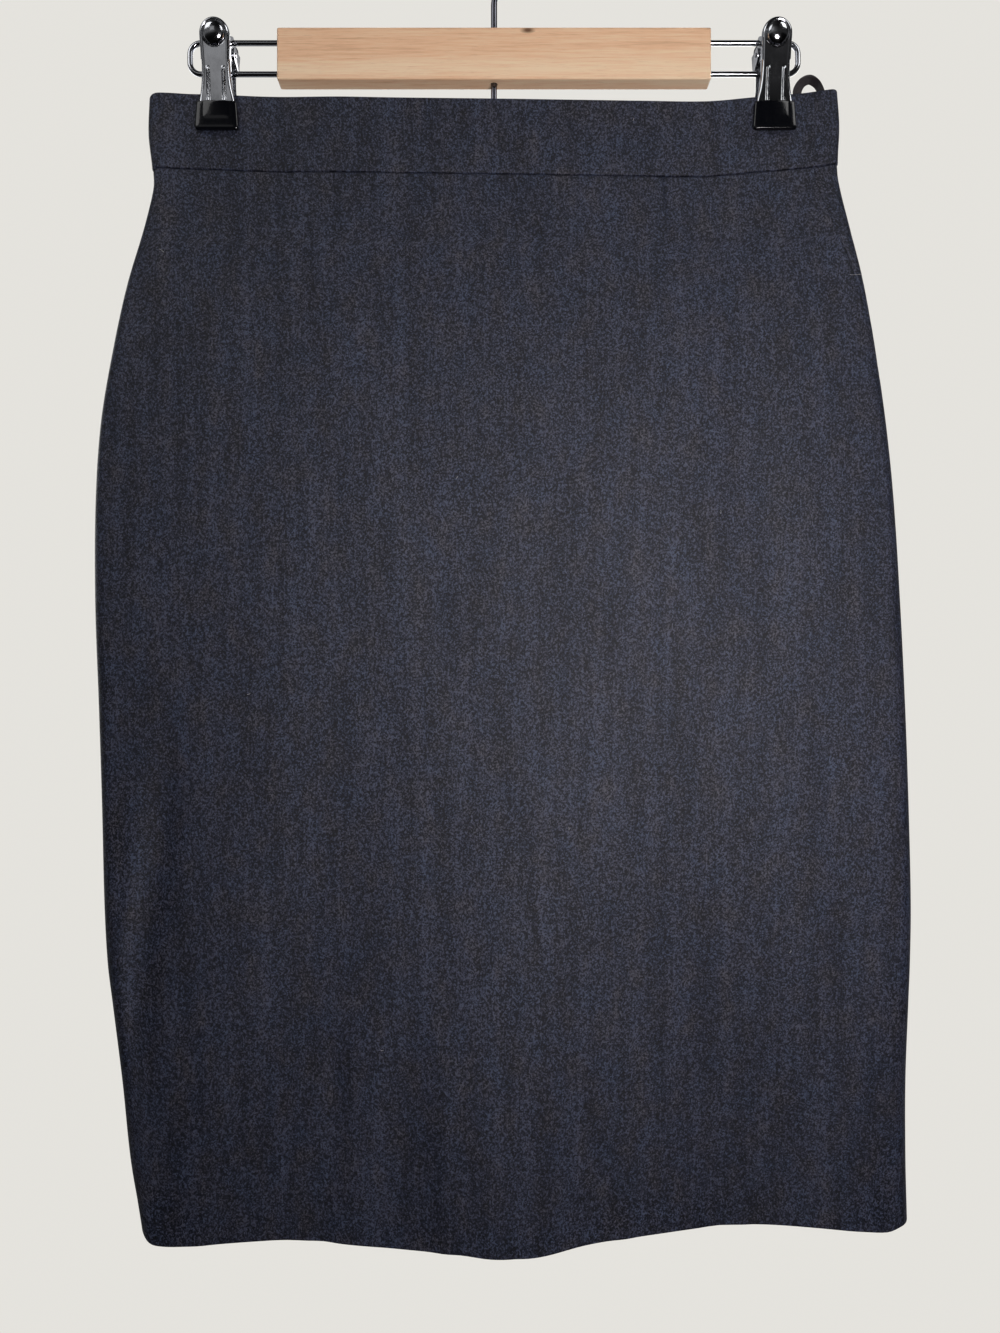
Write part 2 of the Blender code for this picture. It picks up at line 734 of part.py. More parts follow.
def plate_ring(row, clip_x, side):
    half = row["half"] + (row["wider"] if side > 0 else 0.0)
    edge = row["edge"] + PLATE_THICK
    soft = min(0.8, half * 0.4)
    wall = PLATE_THICK
    right = [(half, edge), (half, soft), (half - soft, 0.0)]
    left = [(-x, depth) for x, depth in reversed(right)]
    inner_right = [(half - wall, edge), (half - wall, wall + soft * 0.3),
                   (half - wall - soft * 0.3, wall)]
    if half - wall - soft * 0.3 <= 0.05:
        inner_right = [(half * 0.3, edge), (half * 0.2, wall + 0.2), (half * 0.1, wall)]
    inner_left = [(-x, depth) for x, depth in reversed(inner_right)]
    profile = right + left + list(reversed(inner_left)) + list(reversed(inner_right))
    ring = []
    for x, depth in profile:
        y = side * (row["stand_off"] - depth)
        ring.append((clip_x + x, y, JAW_TIP + row["rise"]))
    return ring


def row_at(rise):
    pairs = [(row[0], row[1]) for row in PLATE]
    return curve_value(pairs, rise)


def circle_points(radius, height, sides=20):
    for step in range(sides):
        angle = 2 * math.pi * step / sides
        yield radius * math.cos(angle), height + radius * math.sin(angle)


def ear_outline(face):
    # Side view of an ear round the pivot pin: depth from the middle plane and height. The
    # front plate's ears also hang on the upper rod.
    side = -1 if face == "front" else 1
    pivot = JAW_TIP + PIVOT_RISE
    outline = list(circle_points(EAR_RADIUS, pivot))
    for rise in (PIVOT_RISE - 4.5, PIVOT_RISE + 4.5):
        outline.append((side * (row_at(rise) - PLATE_THICK * 0.4), JAW_TIP + rise))
    if face == "front":
        outline += circle_points(ROD_EYE_RADIUS, BAR_CENTRE + ROD_SPACING / 2)
    return outline


def ear_meshes(clip_x, face):
    for way in (-1, 1):
        near = clip_x + way * EAR_X[face]
        far = near + way * EAR_THICK
        made = bmesh.new()
        for depth, height in ear_outline(face):
            made.verts.new((near, depth, height))
            made.verts.new((far, depth, height))
        hull = bmesh.ops.convex_hull(made, input=made.verts)
        inside = hull["geom_interior"] + hull["geom_unused"]
        bmesh.ops.delete(made, geom=list(set(inside)), context="VERTS")
        bmesh.ops.recalc_face_normals(made, faces=made.faces)
        yield made


def boss_mesh(clip_x, side):
    # Shallow dome on the plate's round end, tilted with it.
    rise = PLATE_CROWN_RISE
    made = bmesh.new()
    bmesh.ops.create_uvsphere(made, u_segments=20, v_segments=10, radius=1.0)
    everything = made.verts[:] + made.edges[:] + made.faces[:]
    bmesh.ops.bisect_plane(made, geom=everything, plane_co=(0, 0, 0), plane_no=(0, 0, -1),
                           clear_outer=True)
    bmesh.ops.holes_fill(made, edges=[edge for edge in made.edges if edge.is_boundary])
    dome = Matrix.Diagonal((BOSS_RADIUS, BOSS_RADIUS, BOSS_HEIGHT, 1.0))
    face_out = Matrix.Rotation(math.radians(-90 * side), 4, "X")
    tilt = Matrix.Rotation(side * -math.atan(PLATE_CROWN_SLOPE), 4, "X")
    centre = Vector((clip_x, side * (row_at(rise) - PLATE_THICK / 2), JAW_TIP + rise))
    bmesh.ops.transform(made, matrix=Matrix.Translation(centre) @ tilt @ face_out @ dome,
                        verts=made.verts)
    return made


def make_plate(name, clip_x, face):
    side = -1 if face == "front" else 1
    rings = [plate_ring(row, clip_x, side) for row in plate_rows()]
    plate = place_mesh(name, loft_mesh(rings), "chrome")
    for ear in ear_meshes(clip_x, face):
        combine(plate, ear, "UNION")
    combine(plate, boss_mesh(clip_x, side), "UNION")
    holes = {JAW_TIP + PIVOT_RISE: PIN_RADIUS, BAR_CENTRE + ROD_SPACING / 2: ROD_RADIUS}
    for height, radius in holes.items():
        start = (clip_x - 14.0, 0.0, height)
        end = (clip_x + 14.0, 0.0, height)
        combine(plate, cylinder_mesh(radius + SEAM_GAP, start, end, 20), "DIFFERENCE")


def coat_ring(clip_x, side, rise, half, faces):
    corners = ((-half, faces[0]), (half, faces[0]), (half, faces[1]), (-half, faces[1]))
    return [(clip_x + x, side * depth, JAW_TIP + rise) for x, depth in corners]


def make_coat(name, clip_x, face):
    side = -1 if face == "front" else 1
    rings = [
        coat_ring(clip_x, side, 0.0, COAT_TIP_HALF, COAT_FACES),
        coat_ring(clip_x, side, COAT_HEIGHT * 0.5, COAT_TIP_HALF - 0.3, COAT_FACES),
        coat_ring(clip_x, side, COAT_HEIGHT, COAT_TOP_HALF, COAT_FACES),
    ]
    coat = place_mesh(name, loft_mesh(rings), "coating")
    half = PLATE[0][2] + SEAM_GAP
    low = (clip_x - half, min(side * d for d in COAT_POCKET), JAW_TIP + PLATE[0][0] - SEAM_GAP)
    high = (clip_x + half, max(side * d for d in COAT_POCKET), JAW_TIP + COAT_HEIGHT + 4.0)
    combine(coat, box_mesh(low, high), "DIFFERENCE")


def make_spring(name, clip_x):
    pivot = JAW_TIP + PIVOT_RISE
    steps = int(SPRING_TURNS * 12)
    start_angle = 180.0
    first_x = clip_x - SPRING_TURNS * SPRING_PITCH / 2
    points = []
    for step in range(steps + 1):
        angle = math.radians(start_angle + 360.0 * step / 12)
        points.append((first_x + SPRING_PITCH * step / 12, SPRING_RADIUS * math.cos(angle),
                       pivot + SPRING_RADIUS * math.sin(angle)))
    reach, rise = SPRING_LEG
    front_leg = (points[0][0], -reach, pivot + rise)
    back_leg = (points[-1][0], reach, pivot + rise)
    wire_object(name, [front_leg, *points, back_leg], SPRING_WIRE, "chrome", 2)


def make_clip(label, clip_x):
    for face in ("front", "back"):
        make_plate(f"clip_{label}_plate_{face}", clip_x, face)
        make_coat(f"clip_{label}_coat_{face}", clip_x, face)
    pivot = JAW_TIP + PIVOT_RISE
    pin = cylinder_mesh(PIN_RADIUS, (clip_x - PIN_HALF, 0.0, pivot),
                        (clip_x + PIN_HALF, 0.0, pivot), 16)
    place_mesh(f"clip_{label}_pin", pin, "chrome")
    make_spring(f"clip_{label}_spring", clip_x)


def main():
    clear_scene()
    make_panels()
    make_waistband()
    make_zip()
    make_slider()
    make_pull()
    make_hanging_loop()
    make_bar()
    make_rods()
    make_hook()
    for label, clip_x in zip(("left", "right"), CLIP_X):
        make_clip(label, clip_x)


main()
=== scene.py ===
# Looks of the pencil skirt on its clip hanger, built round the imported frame.
# Tables are in millimetres, in the frame's own axes: +X to the viewer's right, -Y towards
# the viewer, +Z up, with the origin in the crown of the hook.

import math

import bmesh
import bpy
import numpy as np
from mathutils import Matrix, Vector


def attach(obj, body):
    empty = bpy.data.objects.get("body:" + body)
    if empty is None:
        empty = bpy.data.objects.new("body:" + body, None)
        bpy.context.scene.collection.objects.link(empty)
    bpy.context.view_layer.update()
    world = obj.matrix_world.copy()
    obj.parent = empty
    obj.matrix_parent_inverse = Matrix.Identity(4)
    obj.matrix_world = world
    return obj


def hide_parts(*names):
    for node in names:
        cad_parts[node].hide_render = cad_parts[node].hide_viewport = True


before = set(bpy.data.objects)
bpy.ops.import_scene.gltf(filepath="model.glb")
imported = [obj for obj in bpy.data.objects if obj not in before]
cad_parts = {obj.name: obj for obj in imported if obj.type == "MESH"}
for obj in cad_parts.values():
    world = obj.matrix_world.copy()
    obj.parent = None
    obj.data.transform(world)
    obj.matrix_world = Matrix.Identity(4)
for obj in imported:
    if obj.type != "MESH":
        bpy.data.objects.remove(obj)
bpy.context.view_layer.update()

mm = 0.001
clothBody = "skirt_on_hanger"
tabBody = "zip_tab"


# Camera: level with the middle of the skirt, a little over half a metre away.
cameraSetup = {"place": (3.3, -570.0, -416.2), "tallView": 737.1, "sensor": 36.0,
               "nearest": 20.0, "farthest": 20000.0}


def makeCamera():
    data = bpy.data.cameras.new("camera")
    data.sensor_width = cameraSetup["sensor"]
    data.lens = cameraSetup["sensor"] * -cameraSetup["place"][1] / cameraSetup["tallView"]
    data.clip_start = cameraSetup["nearest"] * mm
    data.clip_end = cameraSetup["farthest"] * mm
    camera = bpy.data.objects.new("camera", data)
    camera.location = Vector(cameraSetup["place"]) * mm
    camera.rotation_euler = (math.radians(90), 0.0, 0.0)
    bpy.context.scene.collection.objects.link(camera)
    bpy.context.scene.camera = camera


# Small helpers for numbers, meshes and shader nodes.

def smoothStep(value, low, high):
    share = np.clip((np.asarray(value, float) - low) / (high - low), 0.0, 1.0)
    return share * share * (3.0 - 2.0 * share)


def curveValue(pairs, place):
    # Cubic through the pairs, with the slope at each pair taken from its neighbours.
    xs = np.array([pair[0] for pair in pairs], float)
    vs = np.array([pair[1] for pair in pairs], float)
    place = np.clip(np.asarray(place, float), xs[0], xs[-1])
    at = np.clip(np.searchsorted(xs, place, side="right") - 1, 0, len(xs) - 2)
    before = np.maximum(at - 1, 0)
    after = np.minimum(at + 2, len(xs) - 1)
    span = xs[at + 1] - xs[at]
    rise0 = (vs[at + 1] - vs[before]) / (xs[at + 1] - xs[before]) * span
    rise1 = (vs[after] - vs[at]) / (xs[after] - xs[at]) * span
    t = (place - xs[at]) / span
    shape0 = (1 + 2 * t) * (1 - t) ** 2 * vs[at] + t * (1 - t) ** 2 * rise0
    shape1 = t * t * (3 - 2 * t) * vs[at + 1] + t * t * (t - 1) * rise1
    return shape0 + shape1


def linkObject(name, data, finish, body=clothBody):
    thing = bpy.data.objects.new(name, data)
    data.materials.append(finish)
    bpy.context.scene.collection.objects.link(thing)
    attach(thing, body)
    return thing


def meshPiece(name, points, faces, finish, slotName, sharp=40.0, uv=None, body=clothBody):
    mesh = bpy.data.meshes.new(name)
    mesh.from_pydata((np.asarray(points, float) * mm).tolist(), [], faces)
    if uv is not None:
        layer = mesh.uv_layers.new(name="weave")
        corners = np.empty(len(mesh.loops), int)
        mesh.loops.foreach_get("vertex_index", corners)
        layer.data.foreach_set("uv", (np.asarray(uv, float)[corners] * mm).ravel())
    mesh.shade_smooth()
    mesh.set_sharp_from_angle(angle=math.radians(sharp))
    mesh.update()
    return linkObject(name, mesh, finish, body)


def gridFaces(rows, columns, base=0, flip=False):
    faces = []
    for row in range(rows - 1):
        for column in range(columns - 1):
            a = base + row * columns + column
            quad = (a, a + columns, a + columns + 1, a + 1)
            faces.append(quad[::-1] if flip else quad)
    return faces


def shellFaces(rows, columns):
    # Two grids of the same size, back to back and joined round their rim.
    total = rows * columns
    faces = gridFaces(rows, columns) + gridFaces(rows, columns, total, True)
    rim = list(range(columns - 1))
    rim += [row * columns + columns - 1 for row in range(rows - 1)]
    rim += [(rows - 1) * columns + column for column in range(columns - 1, 0, -1)]
    rim += [row * columns for row in range(rows - 1, 0, -1)]
    for at, index in enumerate(rim):
        following = rim[(at + 1) % len(rim)]
        faces.append((index, following, total + following, total + index))
    return faces


def ringFaces(rings, count):
    # Rings of points joined in turn, with a cap at each end.
    faces = []
    for ring in range(rings - 1):
        for step in range(count):
            a = ring * count + step
            b = ring * count + (step + 1) % count
            faces.append((a, b, b + count, a + count))
    faces.append(tuple(range(count))[::-1])
    last = (rings - 1) * count
    faces.append(tuple(range(last, last + count)))
    return faces


def joinMeshes(parts):
    points, faces = [], []
    for partPoints, partFaces in parts:
        base = len(points)
        points += [tuple(p) for p in partPoints]
        faces += [tuple(index + base for index in face) for face in partFaces]
    return points, faces


def faceOut(piece):
    made = bmesh.new()
    made.from_mesh(piece.data)
    bmesh.ops.recalc_face_normals(made, faces=made.faces)
    made.to_mesh(piece.data)
    made.free()


def addNode(tree, kind, inputs=None, **settings):
    made = tree.nodes.new(kind)
    for key, value in settings.items():
        setattr(made, key, value)
    for key, value in (inputs or {}).items():
        if isinstance(value, bpy.types.NodeSocket):
            tree.links.new(value, made.inputs[key])
        else:
            made.inputs[key].default_value = value
    return made


def newFinish(name, **sockets):
    finish = bpy.data.materials.new(name)
    finish.use_nodes = True
    shader = finish.node_tree.nodes["Principled BSDF"]
    for key, value in sockets.items():
        shader.inputs[key.replace("_", " ")].default_value = value
    return finish, finish.node_tree, shader


def placeField(tree, source, size, shift=(0.0, 0.0, 0.0), turn=0.0):
    # Coordinates counted in features of the given size in millimetres.
    made = addNode(tree, "ShaderNodeMapping", {"Vector": source})
    made.inputs["Scale"].default_value = [1.0 / (s * mm) for s in size]
    made.inputs["Location"].default_value = shift
    made.inputs["Rotation"].default_value = (0.0, 0.0, math.radians(turn))
    return made.outputs[0]


def noise(tree, source, size, shift=(0.0, 0.0, 0.0), detail=2.0, rough=0.5, bend=0.0):
    made = addNode(tree, "ShaderNodeTexNoise", {
        "Vector": placeField(tree, source, size, shift), "Scale": 1.0, "Detail": detail,
        "Roughness": rough, "Distortion": bend})
    return made.outputs["Fac"]


def calc(tree, operation, first, second=0.0, third=0.0):
    made = addNode(tree, "ShaderNodeMath", {0: first, 1: second, 2: third},
                   operation=operation)
    return made.outputs[0]


def spread(tree, value, low, high, to=(0.0, 1.0)):
    made = addNode(tree, "ShaderNodeMapRange", {
        "Value": value, "From Min": low, "From Max": high, "To Min": to[0], "To Max": to[1]})
    return made.outputs[0]


def ramp(tree, value, stops):
    made = addNode(tree, "ShaderNodeValToRGB", {"Fac": value})
    band = made.color_ramp
    while len(band.elements) < len(stops):
        band.elements.new(1.0)
    for element, (place, colour) in zip(band.elements, stops):
        element.position = place
        element.color = (*colour, 1.0)
    return made.outputs[0]


def mixColour(tree, share, first, second, blend="MIX"):
    made = addNode(tree, "ShaderNodeMix", data_type="RGBA", blend_type=blend)
    for socket, value in ((0, share), (6, first), (7, second)):
        if isinstance(value, bpy.types.NodeSocket):
            tree.links.new(value, made.inputs[socket])
        else:
            made.inputs[socket].default_value = value if socket == 0 else (*value, 1.0)
    return made.outputs[2]


def addBump(tree, shader, height, depth, strength=1.0):
    made = addNode(tree, "ShaderNodeBump", {
        "Height": height, "Distance": depth * mm, "Strength": strength})
    feed(tree, shader, "Normal", made.outputs[0])


def feed(tree, shader, socketName, value):
    tree.links.new(value, shader.inputs[socketName])


def weaveField(tree):
    return addNode(tree, "ShaderNodeUVMap", uv_map="weave").outputs[0]


def pieceField(tree):
    return addNode(tree, "ShaderNodeTexCoord").outputs["Object"]


def splitField(tree, value):
    return addNode(tree, "ShaderNodeSeparateXYZ", {0: value}).outputs


def ribWave(tree, value):
    # One rib to each unit of the field.
    return calc(tree, "SINE", calc(tree, "MULTIPLY", value, ribTurn))


def addTone(tree, share, weight, tone):
    return calc(tree, "MULTIPLY_ADD", share, weight, tone)


ribTurn = 6.28  # radians from one rib to the next

# Worsted: fine dark warp and weft yarns with lighter fibres and slubs down the warp.
# Sizes are millimetres across and along; weights are shares of the tone and of the relief.
worstedLook = {
    "dark": (0.0002, 0.0005, 0.0024), "middle": (0.0030, 0.0045, 0.0130),
    "light": (0.0560, 0.0620, 0.0980), "darkTo": 0.28, "middleAt": 0.58, "lightFrom": 0.94,
    "yarn": 0.46, "yarnBroad": 1.8, "warpLong": 11.0, "weftLong": 7.0,
    "fibreSize": (1.2, 1.5, 1.0), "fleckSize": (0.64, 0.80, 1.0), "slubSize": (1.7, 42.0, 1.0),
    "shadeSize": (9.0, 110.0, 1.0), "castSize": (13.0, 21.0, 1.0),
    "fibreTone": 0.42, "fleckTone": 0.54, "warpTone": 0.10, "weftTone": 0.06, "slubTone": 0.18,
    "shadeTone": 0.15,
    "casts": ((0.34, (0.86, 1.00, 1.08)), (0.52, (1.0, 1.0, 1.0)), (0.68, (1.18, 1.04, 0.86))),
    "ribRelief": 0.14, "fibreRelief": 1.5, "warpRelief": 0.45, "slubRelief": 0.3, "relief": 0.16,
    "specular": 0.38, "roughness": 0.80, "fibreGloss": -0.34, "shadeGloss": -0.10}


def makeWorsted():
    look = worstedLook
    finish, tree, shader = newFinish("worsted", Specular_IOR_Level=look["specular"])
    cloth = weaveField(tree)
    yarn = look["yarn"]
    broad = yarn * look["yarnBroad"]
    fibres = noise(tree, cloth, look["fibreSize"], detail=3.0, rough=0.85)
    warp = noise(tree, cloth, (broad, look["warpLong"], 1.0), (3.1, 0.7, 0.0), 2.0, 0.6)
    weft = noise(tree, cloth, (look["weftLong"], broad, 1.0), (1.9, 4.2, 0.0), 2.0, 0.6)
    slubs = noise(tree, cloth, look["slubSize"], (7.7, 2.3, 0.0), 2.0, 0.55)
    shade = noise(tree, cloth, look["shadeSize"], (0.4, 9.1, 0.0), 4.0, 0.62)
    flecks = addNode(tree, "ShaderNodeTexVoronoi",
                     {"Vector": placeField(tree, cloth, look["fleckSize"]), "Scale": 1.0},
                     voronoi_dimensions="2D").outputs["Color"]
    tone = calc(tree, "MULTIPLY", splitField(tree, flecks)[0], look["fleckTone"])
    tone = addTone(tree, spread(tree, fibres, 0.36, 0.64), look["fibreTone"], tone)
    tone = addTone(tree, spread(tree, warp, 0.30, 0.70), look["warpTone"], tone)
    tone = addTone(tree, spread(tree, weft, 0.30, 0.70), look["weftTone"], tone)
    tone = addTone(tree, spread(tree, slubs, 0.58, 0.84), look["slubTone"], tone)
    tone = addTone(tree, spread(tree, shade, 0.34, 0.66), look["shadeTone"], tone)
    colour = ramp(tree, tone, ((look["darkTo"], look["dark"]), (look["middleAt"], look["middle"]),
                               (look["lightFrom"], look["light"])))
    cast = noise(tree, cloth, look["castSize"], (5.5, 1.2, 0.0), 3.0, 0.6)
    colour = mixColour(tree, 1.0, colour, ramp(tree, cast, look["casts"]), "MULTIPLY")
    feed(tree, shader, "Base Color", colour)
    # Plain weave: ribs of warp and weft crossing, loosened by the fibres.
    ends = splitField(tree, placeField(tree, cloth, (yarn, yarn, 1.0)))
    across = calc(tree, "SINE", calc(tree, "MULTIPLY", ends[0], 2 * math.pi))
    down = calc(tree, "SINE", calc(tree, "MULTIPLY", ends[1], 2 * math.pi))
    ribs = calc(tree, "MULTIPLY", across, down)
    height = calc(tree, "MULTIPLY", fibres, look["fibreRelief"])
    height = addTone(tree, ribs, look["ribRelief"], height)
    height = addTone(tree, warp, look["warpRelief"], height)
    height = addTone(tree, slubs, look["slubRelief"], height)
    addBump(tree, shader, height, look["relief"])
    lustre = addTone(tree, shade, look["shadeGloss"],
                     calc(tree, "MULTIPLY", fibres, look["fibreGloss"]))
    feed(tree, shader, "Roughness", calc(tree, "ADD", lustre, look["roughness"]))
    return finish


tapeLook = {"dark": (0.008, 0.008, 0.010), "light": (0.036, 0.036, 0.042), "rib": 0.9,
            "fluffSize": (0.5, 0.7, 1.0), "ribRelief": 0.35, "relief": 0.12}


def makeTapeFinish():
    look = tapeLook
    finish, tree, shader = newFinish("zip_tape_weave", Roughness=0.75)
    cloth = weaveField(tree)
    apart = splitField(tree, placeField(tree, cloth, (look["rib"], look["rib"], 1.0)))
    lean = calc(tree, "PINGPONG", apart[0], 1.0)
    twill = ribWave(tree, calc(tree, "ADD", apart[1], lean))
    fluff = noise(tree, cloth, look["fluffSize"], detail=3.0)
    height = addTone(tree, twill, look["ribRelief"], fluff)
    colour = ramp(tree, height, ((0.1, look["dark"]), (0.9, look["light"])))
    feed(tree, shader, "Base Color", colour)
    addBump(tree, shader, height, look["relief"])
    return finish


# Satin ribbon, black-brown, with fine ribs across it.
ribbonLook = {"dark": (0.0060, 0.0045, 0.0055), "light": (0.0300, 0.0235, 0.0255), "rib": 0.55,
              "fluffSize": (0.35, 1.6, 1.0), "ribRelief": 0.3, "relief": 0.08, "specular": 0.3}


def makeRibbonFinish():
    look = ribbonLook
    finish, tree, shader = newFinish("satin_ribbon", Roughness=0.5,
                                     Specular_IOR_Level=look["specular"])
    cloth = weaveField(tree)
    fluff = noise(tree, cloth, look["fluffSize"], detail=3.0)
    ribs = ribWave(tree, splitField(tree, placeField(tree, cloth, (1.0, look["rib"], 1.0)))[1])
    height = addTone(tree, ribs, look["ribRelief"], fluff)
    colour = ramp(tree, fluff, ((0.3, look["dark"]), (0.75, look["light"])))
    feed(tree, shader, "Base Color", colour)
    addBump(tree, shader, height, look["relief"])
    return finish


# Pale wood with its grain along the bar, paler sapwood low on the face, and one small knot.
woodLook = {
    "pale": (0.960, 0.720, 0.480), "warm": (0.900, 0.560, 0.340), "line": (0.560, 0.320, 0.180),
    "knot": (0.17, 0.085, 0.04), "knotPlace": (18.6, -67.6), "knotSize": (3.4, 1.7),
    "wanderSize": (60.0, 30.0, 12.0), "bandSize": (240.0, 14.0, 7.5),
    "grainSize": (22.0, 1.6, 0.75), "poreSize": (7.0, 0.6, 0.32),
    "bandTone": 0.45, "grainTone": 0.55, "poreTone": 0.45,
    "sapFrom": -77.5, "sapFull": -85.0, "sapWander": 10.0, "sapTone": -0.24,
    "specular": 0.35, "roughness": 0.46, "grainRough": 0.18, "relief": 0.10}


def makeWood():
    look = woodLook
    finish, tree, shader = newFinish("pale_wood", Specular_IOR_Level=look["specular"])
    place = pieceField(tree)
    wander = noise(tree, place, look["wanderSize"])
    bands = noise(tree, place, look["bandSize"], (2.4, 0.0, 5.2), 3.0, 0.55, 0.25)
    grain = noise(tree, place, look["grainSize"], (0.0, 3.0, 1.0), 4.0, 0.62, 0.35)
    pores = noise(tree, place, look["poreSize"], (4.0, 0.0, 7.0), 2.0, 0.6)
    tone = calc(tree, "MULTIPLY", spread(tree, grain, 0.28, 0.74), look["grainTone"])
    tone = addTone(tree, spread(tree, bands, 0.32, 0.70), look["bandTone"], tone)
    height = splitField(tree, place)[2]
    wavy = addTone(tree, wander, look["sapWander"] * mm, height)
    sap = spread(tree, wavy, look["sapFrom"] * mm, look["sapFull"] * mm)
    tone = addTone(tree, sap, look["sapTone"], tone)
    colour = ramp(tree, tone, ((0.05, look["pale"]), (0.50, look["warm"]), (0.98, look["line"])))
    pits = spread(tree, pores, 0.60, 0.78)
    colour = mixColour(tree, calc(tree, "MULTIPLY", pits, look["poreTone"]), colour, look["line"])
    knotX, knotZ = look["knotPlace"]
    knotWide, knotTall = look["knotSize"]
    middle = addNode(tree, "ShaderNodeVectorMath", {0: place, 1: (knotX * mm, 0.0, knotZ * mm)},
                     operation="SUBTRACT").outputs[0]
    flat = addNode(tree, "ShaderNodeVectorMath",
                   {0: middle, 1: (1.0 / (knotWide * mm), 0.0, 1.0 / (knotTall * mm))},
                   operation="MULTIPLY").outputs[0]
    away = addNode(tree, "ShaderNodeVectorMath", {0: flat}, operation="LENGTH").outputs["Value"]
    knot = spread(tree, addTone(tree, grain, 1.2, away), 1.9, 0.9)
    colour = mixColour(tree, knot, colour, look["knot"])
    feed(tree, shader, "Base Color", colour)
    rough = addTone(tree, grain, look["grainRough"], look["roughness"])
    feed(tree, shader, "Roughness", rough)
    relief = calc(tree, "SUBTRACT", calc(tree, "MULTIPLY", grain, 0.7), pits)
    addBump(tree, shader, relief, look["relief"], 0.7)
    return finish


# Plated steel: bright, with handling smears, fine scratches and dull specks.
chromeLook = {"plate": (0.56, 0.57, 0.60), "wire": (0.13, 0.13, 0.15), "zip": (0.10, 0.10, 0.11),
              "smearSize": (6.0, 6.0, 9.0), "speckSize": (1.1, 1.1, 1.1),
              "scratchSize": (0.5, 0.5, 14.0), "shaded": 0.72, "speckRough": 0.10,
              "scratchRelief": 0.12, "relief": 0.02}


def makeChrome(name, colour, wear=0.10, rough=0.10):
    look = chromeLook
    finish, tree, shader = newFinish(name, Metallic=1.0)
    place = pieceField(tree)
    smear = noise(tree, place, look["smearSize"], detail=3.0, rough=0.6)
    specks = noise(tree, place, look["speckSize"])
    scratch = noise(tree, place, look["scratchSize"], (1.0, 4.0, 2.0), 2.0, 0.6)
    dull = addTone(tree, spread(tree, smear, 0.40, 0.75), wear, rough)
    dull = addTone(tree, spread(tree, specks, 0.66, 0.80), look["speckRough"], dull)
    feed(tree, shader, "Roughness", dull)
    shaded = tuple(c * look["shaded"] for c in colour)
    worn = mixColour(tree, spread(tree, smear, 0.35, 0.8), colour, shaded)
    feed(tree, shader, "Base Color", worn)
    relief = addTone(tree, scratch, look["scratchRelief"], smear)
    addBump(tree, shader, relief, look["relief"], 0.4)
    return finish


# Dipped vinyl: glossy black with soft dust and a slight orange-peel surface.
coatingLook = {"dark": (0.0018, 0.0021, 0.0034), "dusty": (0.0060, 0.0064, 0.0080),
               "peelSize": (1.6, 1.6, 1.6), "dustSize": (0.5, 0.5, 0.5), "specular": 0.25,
               "coat": 0.35, "coatRough": 0.06, "roughness": 0.12, "dustRough": 0.12,
               "relief": 0.10}


def makeCoating():
    look = coatingLook
    finish, tree, shader = newFinish("dipped_vinyl", Coat_Weight=look["coat"],
                                     Coat_Roughness=look["coatRough"],
                                     Specular_IOR_Level=look["specular"])
    place = pieceField(tree)
    peel = noise(tree, place, look["peelSize"])
    dust = noise(tree, place, look["dustSize"], (3.0, 1.0, 2.0), 3.0, 0.6)
    feed(tree, shader, "Roughness", addTone(tree, dust, look["dustRough"], look["roughness"]))
    colour = ramp(tree, dust, ((0.45, look["dark"]), (0.85, look["dusty"])))
    feed(tree, shader, "Base Color", colour)
    addBump(tree, shader, peel, look["relief"], 0.5)
    return finish


nylonLook = {"dark": (0.012, 0.012, 0.014), "light": (0.028, 0.028, 0.032),
             "grainSize": (0.4, 0.4, 0.4), "relief": 0.03}


def makeNylon():
    look = nylonLook
    finish, tree, shader = newFinish("zip_nylon", Roughness=0.4)
    grain = noise(tree, pieceField(tree), look["grainSize"])
    colour = ramp(tree, grain, ((0.3, look["dark"]), (0.7, look["light"])))
    feed(tree, shader, "Base Color", colour)
    addBump(tree, shader, grain, look["relief"])
    return finish


# The skirt's surface, worked out as its solids are, with finer creases laid over it.
skirtCut = {
    "waistLevel": -100.8, "bandTall": 41.4, "length": 625.0, "wall": 1.5, "bandWall": 1.9,
    "bandProud": 0.4,
    "centreBack": 6.0, "seamBehindLeft": 6.0, "slitLength": 150.0, "slitOpen": 4.0,
    "clipPlaces": (-152.0, 154.0), "pinch": 2.45, "pinchFlat": 13.5, "pinchInner": 60.0,
    "pinchOuter": 22.0, "pinchKept": 32.0, "pinchGone": 130.0, "sagKept": 41.4,
    "sagGone": 170.0, "hemLiftFrom": 420.0, "seamGap": 0.06, "zipGap": 0.5, "slitLeast": 0.08}

